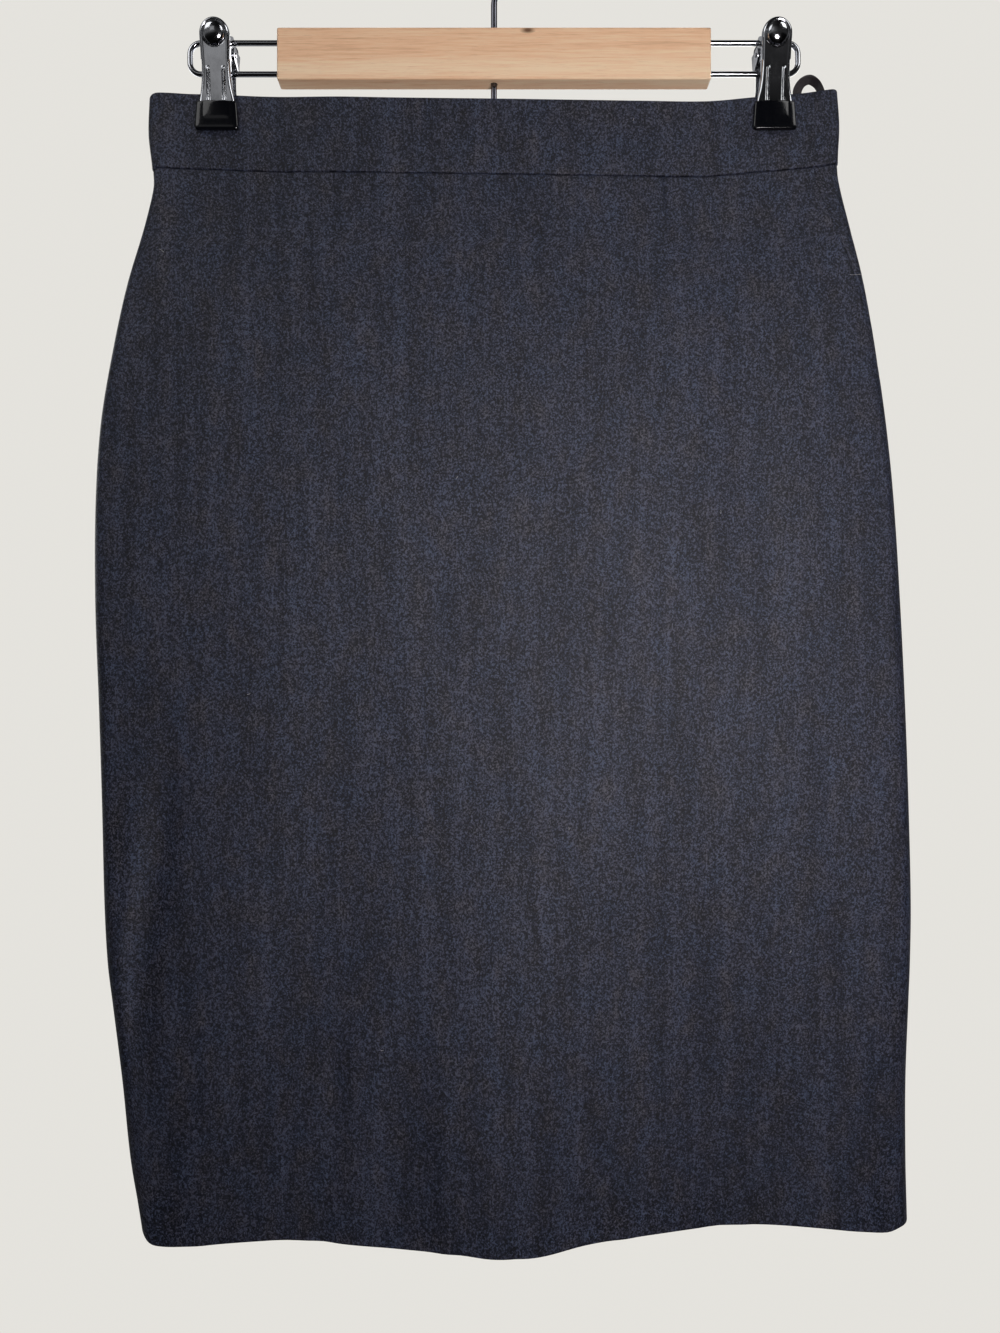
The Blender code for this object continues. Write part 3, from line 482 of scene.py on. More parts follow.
# drop below the waist, outline left, outline right, side fold's radius, front swell,
# back swell, right side seam's distance from the fold
sectionColumns = ("drop", "left", "right", "fold", "front", "back", "seam")
sectionRows = (
    (0.0, -189.8, 189.0, 4.0, 2.4, 4.6, 13.5),
    (20.0, -190.4, 190.3, 4.0, 2.5, 4.6, 13.5),
    (41.4, -188.2, 189.4, 4.0, 3.0, 4.8, 13.5),
    (52.0, -188.2, 190.6, 4.2, 3.6, 5.2, 13.0),
    (76.0, -194.7, 196.6, 4.8, 5.0, 6.4, 10.0),
    (103.0, -202.4, 203.5, 5.4, 6.6, 8.0, 5.4),
    (137.0, -209.6, 209.8, 6.0, 8.4, 9.8, 1.6),
    (181.0, -216.9, 216.2, 6.6, 9.8, 11.4, -1.6),
    (225.0, -219.8, 220.6, 7.0, 10.4, 12.0, -4.0),
    (280.0, -220.0, 224.0, 7.4, 10.4, 11.8, -5.0),
    (336.0, -218.0, 226.7, 7.8, 10.0, 11.0, -5.0),
    (391.0, -216.2, 228.6, 8.2, 9.4, 10.2, -5.0),
    (446.0, -214.8, 229.8, 8.6, 8.8, 9.4, -5.0),
    (479.0, -213.0, 229.3, 8.8, 8.4, 9.0, -5.0),
    (502.0, -210.2, 228.4, 9.0, 8.2, 8.8, -5.0),
    (546.0, -204.8, 226.8, 9.2, 8.0, 8.4, -5.0),
    (590.0, -200.2, 226.8, 9.4, 8.0, 8.2, -5.0),
    (625.0, -194.0, 227.6, 9.6, 8.0, 8.0, -5.0))
sectionCurves = {name: [(row[0], row[at]) for row in sectionRows]
                 for at, name in enumerate(sectionColumns)}

bandSag = ((-193, -3.4), (-189, -1.2), (-184, 0.0), (-150, -0.4), (-110, -2.4), (-60, -3.8), (0, -4.6),
           (60, -5.4), (90, -5.6), (116, -4.6), (142, -1.8), (172, 0.6), (190, 2.3))
hemLift = ((-196, 3.0), (-188, -4.0), (-178, -5.6), (-160, -4.2), (-130, -1.6), (-107, -0.2),
           (-51, -3.0), (-18, -3.2), (0, -4.8), (25, -4.8), (50, -0.6), (80, 3.4), (112, 5.0),
           (136, 5.4), (178, 4.6), (200, 3.0), (214, 2.2), (221, 4.4), (228, 5.4))

# Large folds: face, x at the start, x at the end, half width, depth, start, full, keep, end.
largeFolds = (
    ("front", 22, 0, 62, 7.0, 330, 610, 700, 800),
    ("front", 104, 136, 66, -7.0, 360, 600, 700, 800),
    ("front", -60, -118, 52, -2.6, 240, 430, 560, 700),
    ("front", -176, -196, 16, -3.4, 330, 420, 480, 560),
    ("front", 128, 150, 34, -2.4, 60, 130, 200, 330),
    ("back", -70, -96, 70, -4.0, 260, 560, 700, 800),
    ("back", 84, 112, 70, 3.6, 300, 600, 700, 800),
    ("back", -120, -140, 36, -2.2, 60, 130, 210, 330))

# Small creases: face, start (x, drop), end (x, drop), bow to the right, half width, depth.
smallCreases = (
    ("front", (-194.5, 425), (-208.0, 486), 1.5, 3.2, 1.30),
    ("front", (-190.0, 418), (-202.5, 478), 1.0, 4.5, -1.10),
    ("front", (-164.0, 360), (-190.0, 470), -5.0, 9.0, -1.00),
    ("front", (-50.0, 70), (6.0, 440), -14.0, 20.0, -0.70),
    ("front", (139.0, 60), (146.0, 190), 3.0, 15.0, -0.80),
    ("front", (-84.0, 500), (-92.0, 624), 2.0, 13.0, -1.10),
    ("front", (-34.0, 470), (-26.0, 624), 1.0, 11.0, 0.80),
    ("front", (16.0, 520), (12.0, 624), 0.0, 9.0, -0.60),
    ("front", (112.0, 470), (120.0, 624), 2.0, 7.0, -0.90),
    ("front", (128.0, 480), (134.0, 624), 0.0, 7.0, 0.50),
    ("front", (176.0, 300), (190.0, 560), 4.0, 14.0, -0.70),
    ("front", (98.0, 180), (106.0, 420), 3.0, 12.0, 0.45),
    ("front", (-120.0, 60), (-140.0, 230), -4.0, 14.0, -0.60),
    ("front", (40.0, 90), (58.0, 330), 5.0, 17.0, 0.50),
    ("front", (-150.0, 500), (-160.0, 624), 0.0, 12.0, 0.70),
    ("front", (62.0, 545), (70.0, 624), 0.0, 10.0, 0.60),
    ("front", (204.0, 90), (212.0, 240), 2.0, 6.0, -0.60),
    ("front", (-205.0, 110), (-212.0, 260), -2.0, 6.0, -0.60),
    ("back", (-190.0, 400), (-206.0, 470), 2.0, 4.5, -1.20),
    ("back", (196.0, 380), (214.0, 466), -2.0, 6.0, -1.10),
    ("back", (-60.0, 80), (-30.0, 400), 8.0, 18.0, -0.70),
    ("back", (70.0, 70), (40.0, 340), -8.0, 17.0, -0.60),
    ("back", (-118.0, 460), (-124.0, 624), 0.0, 13.0, 1.00),
    ("back", (-60.0, 500), (-54.0, 624), 0.0, 10.0, -0.80),
    ("back", (64.0, 480), (58.0, 624), 0.0, 12.0, -0.90),
    ("back", (150.0, 500), (158.0, 624), 0.0, 13.0, 0.90),
    ("back", (24.0, 226), (44.0, 300), 3.0, 9.0, -0.90),
    ("back", (-10.0, 222), (-30.0, 290), -3.0, 8.0, -0.80),
    ("back", (-6.0, 470), (-20.0, 560), 0.0, 7.0, 0.80),
    ("back", (18.0, 468), (36.0, 566), 0.0, 8.0, -0.70))


def section(name, drop):
    return curveValue(sectionCurves[name], drop)


def middleAndHalf(drop):
    left = section("left", drop)
    right = section("right", drop)
    return (left + right) / 2, (right - left) / 2


def turnAt(x, drop, face):
    middle, half = middleAndHalf(drop)
    share = np.arccos(np.clip((middle - x) / half, -1.0, 1.0)) / math.pi
    return share if face == "front" else 2.0 - share


def foldDepth(face, x, drop):
    total = np.zeros(np.broadcast(x, drop).shape)
    for side, xStart, xEnd, half, depth, start, full, keep, end in largeFolds:
        if side != face:
            continue
        along = smoothStep(drop, start, full) * (1.0 - smoothStep(drop, keep, end))
        run = smoothStep(drop, start, min(end, skirtCut["length"]))
        across = np.abs(x - (xStart + (xEnd - xStart) * run)) / half
        total += depth * along * np.where(across < 1.0, 0.5 + 0.5 * np.cos(math.pi * across), 0)
    return total


def creaseDepth(face, x, drop):
    total = np.zeros(np.broadcast(x, drop).shape)
    for side, start, end, bow, half, depth in smallCreases:
        if side != face:
            continue
        run = (drop - start[1]) / (end[1] - start[1])
        inside = np.clip(run, 0.0, 1.0)
        centre = start[0] + (end[0] - start[0]) * run + bow * np.sin(math.pi * inside)
        fadeIn = smoothStep(run, 0.0, 0.35)
        fadeOut = 1.0 if end[1] >= 624 else 1.0 - smoothStep(run, 0.65, 1.0)
        total += depth * fadeIn * fadeOut * np.exp(-((x - centre) / (0.55 * half)) ** 2)
    return total


def pinchShare(x, drop):
    share = np.zeros(np.broadcast(x, drop).shape)
    flat = skirtCut["pinchFlat"]
    for clipX in skirtCut["clipPlaces"]:
        inwards = (x - clipX) * (-1 if clipX > 0 else 1)
        runOut = np.where(inwards > 0, skirtCut["pinchInner"], skirtCut["pinchOuter"])
        away = np.clip((np.abs(inwards) - flat) / runOut, 0.0, 1.0)
        share = np.maximum(share, 1.0 - away * away * (3.0 - 2.0 * away))
    return share * (1.0 - smoothStep(drop, skirtCut["pinchKept"], skirtCut["pinchGone"]))


def skirtPoint(turn, drop, creased=True):
    turn = np.mod(turn, 2.0)
    drop = np.broadcast_to(np.asarray(drop, float), turn.shape)
    front = turn <= 1.0
    middle, half = middleAndHalf(drop)
    x = middle - half * np.cos(math.pi * turn)
    fromFold = half - np.abs(x - middle)
    fold = section("fold", drop)
    rounding = np.sqrt(np.maximum(0.0, 2.0 * fold * fromFold - fromFold * fromFold))
    depth = np.where(fromFold < fold, rounding, fold)
    swell = 1.0 - (np.abs(x - middle) / half) ** 2.4
    depth = depth + np.where(front, section("front", drop), section("back", drop)) * swell
    folds = np.where(front, foldDepth("front", x, drop), foldDepth("back", x, drop))
    if creased:
        folds = folds + np.where(front, creaseDepth("front", x, drop),
                                 creaseDepth("back", x, drop))
    depth = depth + folds * np.minimum(1.0, fromFold / 12.0)
    pressed = np.minimum(depth, skirtCut["pinch"])
    depth = depth + (pressed - depth) * pinchShare(x, drop)
    height = skirtCut["waistLevel"] - drop
    height = height + curveValue(bandSag, x) * (
        1.0 - smoothStep(drop, skirtCut["sagKept"], skirtCut["sagGone"]))
    height = height + curveValue(hemLift, x) * smoothStep(
        drop, skirtCut["hemLiftFrom"], skirtCut["length"])
    return np.stack([x, np.where(front, -depth, depth), height], axis=-1)


def skirtNormal(turn, drop):
    along = skirtPoint(turn + 0.002, drop) - skirtPoint(turn - 0.002, drop)
    down = skirtPoint(turn, drop + 0.7) - skirtPoint(turn, drop - 0.7)
    out = np.cross(down, along)
    return out / np.linalg.norm(out, axis=-1, keepdims=True)


def turnPerMm(turn, drop):
    along = skirtPoint(turn + 0.002, drop, False) - skirtPoint(turn - 0.002, drop, False)
    return 0.004 / np.linalg.norm(along, axis=-1)


def leftSeam(drop, gap=0.0):
    half = middleAndHalf(drop)[1]
    turn = -np.arccos(1.0 - skirtCut["seamBehindLeft"] / half) / math.pi
    return turn + gap * turnPerMm(turn, drop)


def rightSeam(drop, gap=0.0):
    half = middleAndHalf(drop)[1]
    fromFold = section("seam", drop)
    share = np.arccos(1.0 - np.abs(fromFold) / half) / math.pi
    turn = 1.0 - np.sign(fromFold) * share
    return turn + gap * turnPerMm(turn, drop)


def slitHalf(drop):
    opening = np.clip((drop - skirtCut["length"] + skirtCut["slitLength"])
                      / skirtCut["slitLength"], 0.0, 1.0)
    return skirtCut["slitLeast"] + skirtCut["slitOpen"] * opening ** 1.5


# Darts, sewn on the inside: face, x at the band, x at the point, drop of the point.
darts = {"frontLeft": ("front", -88.0, -87.5, 104.0), "frontRight": ("front", 92.5, 97.5, 92.0),
         "backLeft": ("back", -86.0, -84.0, 150.0), "backRight": ("back", 98.0, 96.0, 150.0)}


def dartTurn(name, drop):
    face, top, point, end = darts[name]
    run = np.clip((drop - skirtCut["bandTall"]) / (end - skirtCut["bandTall"]), 0.0, 1.5)
    return turnAt(top + (point - top) * run, drop, face)


def gradedSteps(length, finest, growth, coarsest):
    # Spacing that is fine at both ends, as shares of the length.
    steps = []
    size = finest
    while sum(steps) < length / 2:
        steps.append(size)
        size = min(size * growth, coarsest)
    steps = steps + steps[::-1]
    places = np.concatenate([[0.0], np.cumsum(steps)])
    return places / places[-1]


# How sewing marks the cloth: depths, and how far each mark reaches or fades.
sewing = {
    "dip": 0.75, "dipReach": 1.3, "dartDip": 0.55, "dartReach": 1.0, "dartFade": 26.0,
    "hollow": 0.35, "hollowReach": 7.0, "hollowFrom": 30.0, "hollowPast": 22.0,
    "pucker": 0.10, "puckerReach": 5.0, "hemTurn": 0.9, "hemFrom": 40.4, "hemFull": 39.2,
    # run, shift and size of each wave in the pucker, along a seam and down it
    "alongWaves": ((3.1, 0.0, 1.0), (4.7, 1.3, 1.0), (1.9, 0.4, 0.6)),
    "downWaves": ((3.7, 0.0, 1.0), (5.9, 0.8, 1.0))}
clothGrid = {"finest": 0.35, "growth": 1.55, "coarsest": 3.4}


def sewnDip(distance, depth=sewing["dip"], reach=sewing["dipReach"]):
    # Cloth rolling in towards a seam, as a quarter round.
    share = np.clip(1.0 - np.abs(distance) / reach, 0.0, 1.0)
    return depth * (1.0 - np.sqrt(1.0 - share * share * 0.98))


def dartMark(along, rowDrops, dartName, at):
    # The dart's stitch line, and a wider hollow that runs out past its point.
    end = darts[dartName][3]
    off = along - along[:, at:at + 1]
    fade = 1.0 - smoothStep(rowDrops, end - sewing["dartFade"], end)
    hollow = 1.0 - smoothStep(rowDrops, end - sewing["hollowFrom"], end + sewing["hollowPast"])
    away = off / sewing["hollowReach"]
    return (sewnDip(off, sewing["dartDip"], sewing["dartReach"]) * fade[:, None]
            + sewing["hollow"] * np.exp(-away * away) * hollow[:, None])


def waves(place, table):
    return sum(size * np.sin(place / run + shift) for run, shift, size in table)


def puckerMark(along, drops, nearEnds, seams):
    # Slight pucker beside the sewn edges.
    reach = sewing["puckerReach"]
    nearSides = seams[0] * np.exp(-along / reach) + seams[1] * np.exp(
        -(along[:, -1:] - along) / reach)
    return sewing["pucker"] * (waves(along, sewing["alongWaves"]) * nearEnds
                               + waves(drops, sewing["downWaves"]) * nearSides)


def clothShell(name, edges, drops, finish, seams, top="seam", bottom="hem", proud=0.0,
               wall=skirtCut["wall"], dartNames=(), uvMiddle=0.0):
    # A thin closed wall between the columns that edges gives, from one drop to another.
    spacing = (clothGrid["finest"], clothGrid["growth"], clothGrid["coarsest"])
    rowDrops = drops[0] + (drops[1] - drops[0]) * gradedSteps(drops[1] - drops[0], *spacing)
    anchors = [edge(rowDrops) for edge in edges]
    columns = []
    for first, last in zip(anchors, anchors[1:]):
        midRow = len(rowDrops) // 2
        width = abs(last[midRow] - first[midRow]) / turnPerMm(
            (first[midRow] + last[midRow]) / 2, rowDrops[midRow])
        steps = gradedSteps(float(width), *spacing)
        zone = first[:, None] + (last - first)[:, None] * steps[None, :]
        columns.append(zone if not columns else zone[:, 1:])
    turns = np.concatenate(columns, axis=1)
    rows, count = turns.shape
    dropGrid = np.broadcast_to(rowDrops[:, None], turns.shape)
    core = skirtPoint(turns, dropGrid)
    out = skirtNormal(turns, dropGrid)
    hop = np.linalg.norm(np.diff(core, axis=1), axis=-1)
    along = np.concatenate([np.zeros((rows, 1)), np.cumsum(hop, axis=1)], axis=1)
    dip = sewnDip(along, seams[0]) + sewnDip(along[:, -1:] - along, seams[1])
    at = -1
    for zone, dartName in zip(columns, dartNames):
        at += zone.shape[1]
        dip += dartMark(along, rowDrops, dartName, at)
    nearEnds = 0.0
    narrow = 0.0
    half = wall / 2
    for kind, distance in ((top, dropGrid - drops[0]), (bottom, drops[1] - dropGrid)):
        if kind == "seam":
            dip += sewnDip(distance)
            nearEnds = nearEnds + np.exp(-distance / sewing["puckerReach"])
        else:
            # A folded edge is rounded over half the wall.
            share = np.clip(1.0 - distance / half, 0.0, 1.0)
            narrow = narrow + half * (1.0 - np.sqrt(1.0 - share * share))
    dip += puckerMark(along, dropGrid, nearEnds, seams)
    narrow = np.minimum(narrow, half * 0.96)
    hemDeep = 0.0
    if bottom == "hem":
        hemDeep = sewing["hemTurn"] * smoothStep(
            dropGrid - drops[1], -sewing["hemFrom"], -sewing["hemFull"])
    outer = core + out * (proud - dip - narrow)[..., None]
    inner = core + out * (proud - dip - wall - hemDeep + narrow)[..., None]
    weave = np.stack([along - lengthAt(along, core, uvMiddle), dropGrid], axis=-1).reshape(-1, 2)
    points = np.concatenate([outer.reshape(-1, 3), inner.reshape(-1, 3)])
    print(f"{name}: {rows} x {count} points on each face")
    return meshPiece(name, points, shellFaces(rows, count), finish, "worsted", 50.0,
                     np.concatenate([weave, weave]))


def lengthAt(along, core, x):
    # Length along each row at the column nearest to x, so that the warp runs straight down.
    best = np.argmin(np.abs(core[:, :, 0] - x), axis=1)
    return along[np.arange(len(best)), best][:, None]


# Flat sizes of the pieces that show, in metres.
panelCut = {"front": (0.452, 0.584), "back": (0.228, 0.584)}
bandCut = {"front": (0.384, 0.042), "back": (0.196, 0.042)}


def makeSkirt(worsted):
    band = skirtCut["bandTall"]
    centre = skirtCut["centreBack"]
    gap = skirtCut["seamGap"]
    zipGap = skirtCut["zipGap"]
    rows = (band + gap, skirtCut["length"])
    clothShell(
        "frontPanel", (lambda d: leftSeam(d, gap), lambda d: dartTurn("frontLeft", d),
                       lambda d: dartTurn("frontRight", d), lambda d: rightSeam(d, -gap)),
        rows, worsted, seams=(0.35, 0.28), dartNames=("frontLeft", "frontRight"))
    clothShell(
        "backPanelRight", (lambda d: rightSeam(d, gap), lambda d: dartTurn("backRight", d),
                           lambda d: turnAt(centre + slitHalf(d), d, "back")),
        rows, worsted, seams=(0.28, 0.6), dartNames=("backRight",), uvMiddle=centre)
    clothShell(
        "backPanelLeft", (lambda d: turnAt(centre - slitHalf(d), d, "back"),
                          lambda d: dartTurn("backLeft", d), lambda d: 2.0 + leftSeam(d, -gap)),
        rows, worsted, seams=(0.6, 0.35), dartNames=("backLeft",), uvMiddle=centre)
    rows = (0.0, band - gap)
    settings = {"top": "fold", "bottom": "seam", "proud": skirtCut["bandProud"],
                "wall": skirtCut["bandWall"]}
    clothShell(
        "waistbandFront", (lambda d: leftSeam(d, gap), lambda d: rightSeam(d, -gap)),
        rows, worsted, seams=(0.1, 0.02), **settings)
    clothShell(
        "waistbandBackRight", (lambda d: rightSeam(d, gap),
                               lambda d: turnAt(centre + zipGap, d, "back")),
        rows, worsted, seams=(0.02, 0.7), uvMiddle=centre, **settings)
    clothShell(
        "waistbandBackLeft", (lambda d: turnAt(centre - zipGap, d, "back"),
                              lambda d: 2.0 + leftSeam(d, -gap)),
        rows, worsted, seams=(0.7, 0.1), uvMiddle=centre, **settings)
    for key, node, flat in (
            ("front", "front_panel", panelCut["front"]),
            ("backRight", "back_panel_right", panelCut["back"]),
            ("backLeft", "back_panel_left", panelCut["back"]),
            ("bandFront", "waistband_front", bandCut["front"]),
            ("bandRight", "waistband_back_right", bandCut["back"]),
            ("bandLeft", "waistband_back_left", bandCut["back"])):
        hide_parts(node)


# Zip on the centre back, inside the cloth, with its slider at the top of the band.
zipCut = {"top": 2.0, "end": 215.0, "inset": 0.7, "tapeWide": 11.0, "tapeFace": -1.9,
          "tapeThick": 0.7, "tapeEdge": 0.25, "tapeRows": 90,
          "tapeShares": (0.0, 0.03, 0.10, 0.35, 0.65, 0.90, 0.97, 1.0),
          "toothPitch": 1.25, "toothReach": 2.1, "toothWire": 0.42,
          "chainTop": 14.5, "chainEnd": 211.0, "chainFace": -3.6,
          # one tooth: share of its reach, depth into the skirt, drop
          "tooth": ((-0.35, 0.0, 0.0), (0.1, 0.35, 0.0), (0.6, 0.5, 0.1), (0.95, 0.25, 0.35),
                    (1.0, 0.0, 0.6))}


def zipTape(name, side, finish):
    centre = skirtCut["centreBack"]
    drops = np.linspace(zipCut["top"], zipCut["end"], zipCut["tapeRows"])
    shares = np.array(zipCut["tapeShares"])
    xs = centre + side * (zipCut["inset"] + zipCut["tapeWide"] * shares)
    if side > 0:
        xs = xs[::-1]
        shares = shares[::-1]
    turns = np.stack([turnAt(x, drops, "back") for x in xs], axis=1)
    dropGrid = np.broadcast_to(drops[:, None], turns.shape)
    core = skirtPoint(turns, dropGrid)
    out = skirtNormal(turns, dropGrid)
    edge = zipCut["tapeEdge"] * (np.abs(shares - 0.5) > 0.44)
    upper = core + out * (zipCut["tapeFace"] - edge)[None, :, None]
    lower = core + out * (zipCut["tapeFace"] - zipCut["tapeThick"] + edge)[None, :, None]
    weave = np.stack([np.broadcast_to(xs[None, :], turns.shape), dropGrid], axis=-1)
    weave = weave.reshape(-1, 2)
    points = np.concatenate([upper.reshape(-1, 3), lower.reshape(-1, 3)])
    return meshPiece(name, points, shellFaces(*turns.shape), finish, "zip_tape", 50.0,
                     np.concatenate([weave, weave]))


def tubeMesh(path, radii, sides, sideWay=(0.0, 1.0, 0.0)):
    # A closed round tube along the path; radii may taper to round its ends.
    path = np.asarray(path, float)
    points = []
    ahead = np.gradient(path, axis=0)
    ahead /= np.linalg.norm(ahead, axis=1, keepdims=True)
    side = np.array(sideWay)
    for at, (place, way) in enumerate(zip(path, ahead)):
        side = side - way * side.dot(way)
        side /= np.linalg.norm(side)
        other = np.cross(way, side)
        radius = radii[at] if hasattr(radii, "__len__") else radii
        for step in range(sides):
            angle = 2 * math.pi * step / sides
            points.append(place + side * radius * math.cos(angle)
                          + other * radius * math.sin(angle))
    return points, ringFaces(len(path), sides)


def roundedTube(path, radius, sides):
    # The same tube with half-round ends.
    path = np.asarray(path, float)
    starts, ends, taper = [], [], []
    firstWay = path[0] - path[1]
    firstWay /= np.linalg.norm(firstWay)
    lastWay = path[-1] - path[-2]
    lastWay /= np.linalg.norm(lastWay)
    for degrees in (84, 66, 44, 22):
        reach = radius * math.sin(math.radians(degrees))
        starts.append(path[0] + firstWay * (reach - radius))
        ends.append(path[-1] + lastWay * (reach - radius))
        taper.append(radius * math.cos(math.radians(degrees)))
    inner = path.copy()
    inner[0] = path[0] - firstWay * radius
    inner[-1] = path[-1] - lastWay * radius
    whole = np.concatenate([starts, inner, ends[::-1]])
    return tubeMesh(whole, taper + [radius] * len(inner) + taper[::-1], sides)


def zipChain(finish):
    # Two rows of nylon coil, each tooth a small bent bar, meshed in the middle.
    centre = skirtCut["centreBack"]
    count = int((zipCut["chainEnd"] - zipCut["chainTop"]) / zipCut["toothPitch"])
    parts = []
    reach = zipCut["toothReach"]
    for index in range(count):
        for side in (-1, 1):
            drop = zipCut["chainTop"] + zipCut["toothPitch"] * (index + (0.5 if side > 0 else 0))
            turn = turnAt(np.array([centre]), np.array([drop]), "back")
            place = skirtPoint(turn, np.array([drop]))[0]
            path = [(place[0] + side * reach * along, place[1] + zipCut["chainFace"] - deep,
                     place[2] - low) for along, deep, low in zipCut["tooth"]]
            parts.append(tubeMesh(path, zipCut["toothWire"], 5))
    points, faces = joinMeshes(parts)
    return meshPiece("zipCoil", points, faces, finish, "zip_chain", 60.0)


sliderCut = {"drop": 8.6, "wide": 8.0, "deep": 2.0, "tall": 9.5, "face": -3.0, "plate": 0.65,
             "edge": 0.28, "arch": 2.4, "archSteps": 16, "wire": 0.55, "axleOut": 1.9,
             # right half of the outline, as shares of the half width and half height
             "outline": ((0.72, -1.0), (0.84, -0.3), (1.0, 0.55), (0.55, 1.0)),
             # web between the plates: half width, and height as a share of the half height
             "web": ((0.9, 0.5), (0.7, 0.85)), "webDeep": (1.6, 0.4)}


def sliderCentre():
    drop = np.array([sliderCut["drop"]])
    turn = turnAt(np.array([skirtCut["centreBack"]]), drop, "back")
    return skirtPoint(turn, drop, False)[0]


def roundedPlate(outline, low, high, edge, steps=3):
    # A flat plate from an outline of (x, z), with its long edges rounded.
    outline = np.asarray(outline, float)
    count = len(outline)
    ahead = np.roll(outline, -1, axis=0) - outline
    ahead /= np.linalg.norm(ahead, axis=1, keepdims=True)
    out = np.stack([ahead[:, 1], -ahead[:, 0]], axis=1)
    corner = out + np.roll(out, 1, axis=0)
    corner /= np.linalg.norm(corner, axis=1, keepdims=True)
    rings = []
    for step in range(steps + 1):
        angle = math.pi / 2 * step / steps
        rings.append((edge * (1 - math.sin(angle)), low + edge * (1 - math.cos(angle))))
    rings += [(inset, high - (depth - low)) for inset, depth in rings[::-1]]
    points = []
    for inset, depth in rings:
        for (x, z), (ox, oz) in zip(outline, corner):
            points.append((x - ox * inset, depth, z - oz * inset))
    return points, ringFaces(len(rings), count)


def smoothOutline(corners, steps=6):
    # Closed smooth curve through the corners.
    corners = np.asarray(corners, float)
    count = len(corners)
    points = []
    for at in range(count):
        p0, p1, p2, p3 = (corners[(at + k - 1) % count] for k in range(4))
        for step in range(steps):
            t = step / steps
            points.append(0.5 * ((2 * p1) + (p2 - p0) * t + (2 * p0 - 5 * p1 + 4 * p2 - p3) * t ** 2
                                 + (3 * p1 - p0 - 3 * p2 + p3) * t ** 3))
    return points


def makeSlider(finish):
    cut = sliderCut
    centre = sliderCentre()
    half, tall = cut["wide"] / 2, cut["tall"] / 2
    right = [(half * x, tall * z) for x, z in cut["outline"]]
    corners = [(-right[0][0], right[0][1]), *right, *((-x, z) for x, z in right[:0:-1])]
    outline = [(centre[0] + x, centre[2] + z) for x, z in smoothOutline(corners)]
    outer = centre[1] + cut["face"]
    plates = [roundedPlate(outline, outer - cut["deep"], outer - cut["deep"] + cut["plate"],
                           cut["edge"]),
              roundedPlate(outline, outer - cut["plate"], outer, cut["edge"])]
    (lowHalf, low), (highHalf, high) = cut["web"]
    web = [(centre[0] + x, centre[2] + tall * z) for x, z in
           ((-lowHalf, low), (lowHalf, low), (highHalf, high), (-highHalf, high))]
    plates.append(roundedPlate(web, outer - cut["webDeep"][0], outer - cut["webDeep"][1], 0.05, 1))
    # The bail: a half ring of wire with both feet in the outer plate.
    axle = centre[1] + cut["axleOut"]
    arch = cut["arch"]
    path = [(centre[0], outer - 0.5, centre[2] - arch)]
    for step in range(cut["archSteps"] + 1):
        angle = math.radians(-90 + 180 * step / cut["archSteps"])
        path.append((centre[0], axle + arch * math.cos(angle), centre[2] + arch * math.sin(angle)))
    path.append((centre[0], outer - 0.5, centre[2] + arch))
    plates.append(tubeMesh(path, cut["wire"], 10, sideWay=(1.0, 0.0, 0.0)))
    points, faces = joinMeshes(plates)
    piece = meshPiece("zipSlider", points, faces, finish, "zip_metal", 45.0)
    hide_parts("zip_slider")


# The pull's rows are share of the half width by distance down from its top edge; its eye
# and the pressed panel are outlines from the middle of that edge.
pullCut = {"half": 3.2, "long": 20.0, "thick": 1.0, "rise": 0.8, "edge": 0.30, "steps": 34,
           "rows": ((0.0, 0.40), (0.5, 0.72), (2.5, 0.84), (7.0, 0.70), (12.0, 0.86), (16.0, 1.0),
                    (18.4, 0.86), (19.6, 0.52), (20.0, 0.2)),
           "eye": ((-1.25, -1.7), (1.25, -1.7), (1.25, -4.7), (-1.25, -4.7)),
           "pressed": ((-1.2, -8.6), (1.2, -8.6), (1.8, -14.6), (0.0, -17.6), (-1.8, -14.6)),
           "pressedDeep": 0.22, "cutPast": 2.0}


def makePull(finish):
    cut = pullCut
    centre = sliderCentre()
    axle = centre[1] + sliderCut["axleOut"]
    top = centre[2] + cut["rise"]
    downs = np.linspace(0.0, cut["long"], cut["steps"])
    halves = curveValue(cut["rows"], downs) * cut["half"]
    right = [(centre[0] + h, top - d) for h, d in zip(halves, downs)]
    left = [(centre[0] - h, top - d) for h, d in zip(halves[::-1], downs[::-1])]
    y0, y1 = axle - cut["thick"] / 2, axle + cut["thick"] / 2
    points, faces = roundedPlate((right + left)[::-1], y0, y1, cut["edge"])
    piece = meshPiece("zipPull", points, faces, finish, "zip_metal", 45.0, body=tabBody)
    # The eye goes right through for the bail; the panel is only pressed into the face.
    for corners, steps, low in ((cut["eye"], 4, y0 - cut["cutPast"]),
                                (cut["pressed"], 5, y1 - cut["pressedDeep"])):
        outline = [(centre[0] + x, top + z) for x, z in smoothOutline(corners, steps)][::-1]
        cutPiece(piece, roundedPlate(outline, low, y1 + cut["cutPast"], 0.01, 1))
    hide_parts("zip_pull")


def cutPiece(piece, shape):
    points, faces = shape
    mesh = bpy.data.meshes.new("cutter")
    mesh.from_pydata((np.asarray(points, float) * mm).tolist(), [], faces)
    cutter = bpy.data.objects.new("cutter", mesh)
    bpy.context.scene.collection.objects.link(cutter)
    faceOut(piece)
    faceOut(cutter)
    step = piece.modifiers.new("cut", "BOOLEAN")
    step.operation = "DIFFERENCE"
    step.solver = "EXACT"
    step.object = cutter
    applyModifiers(piece)
    bpy.data.objects.remove(cutter, do_unlink=True)


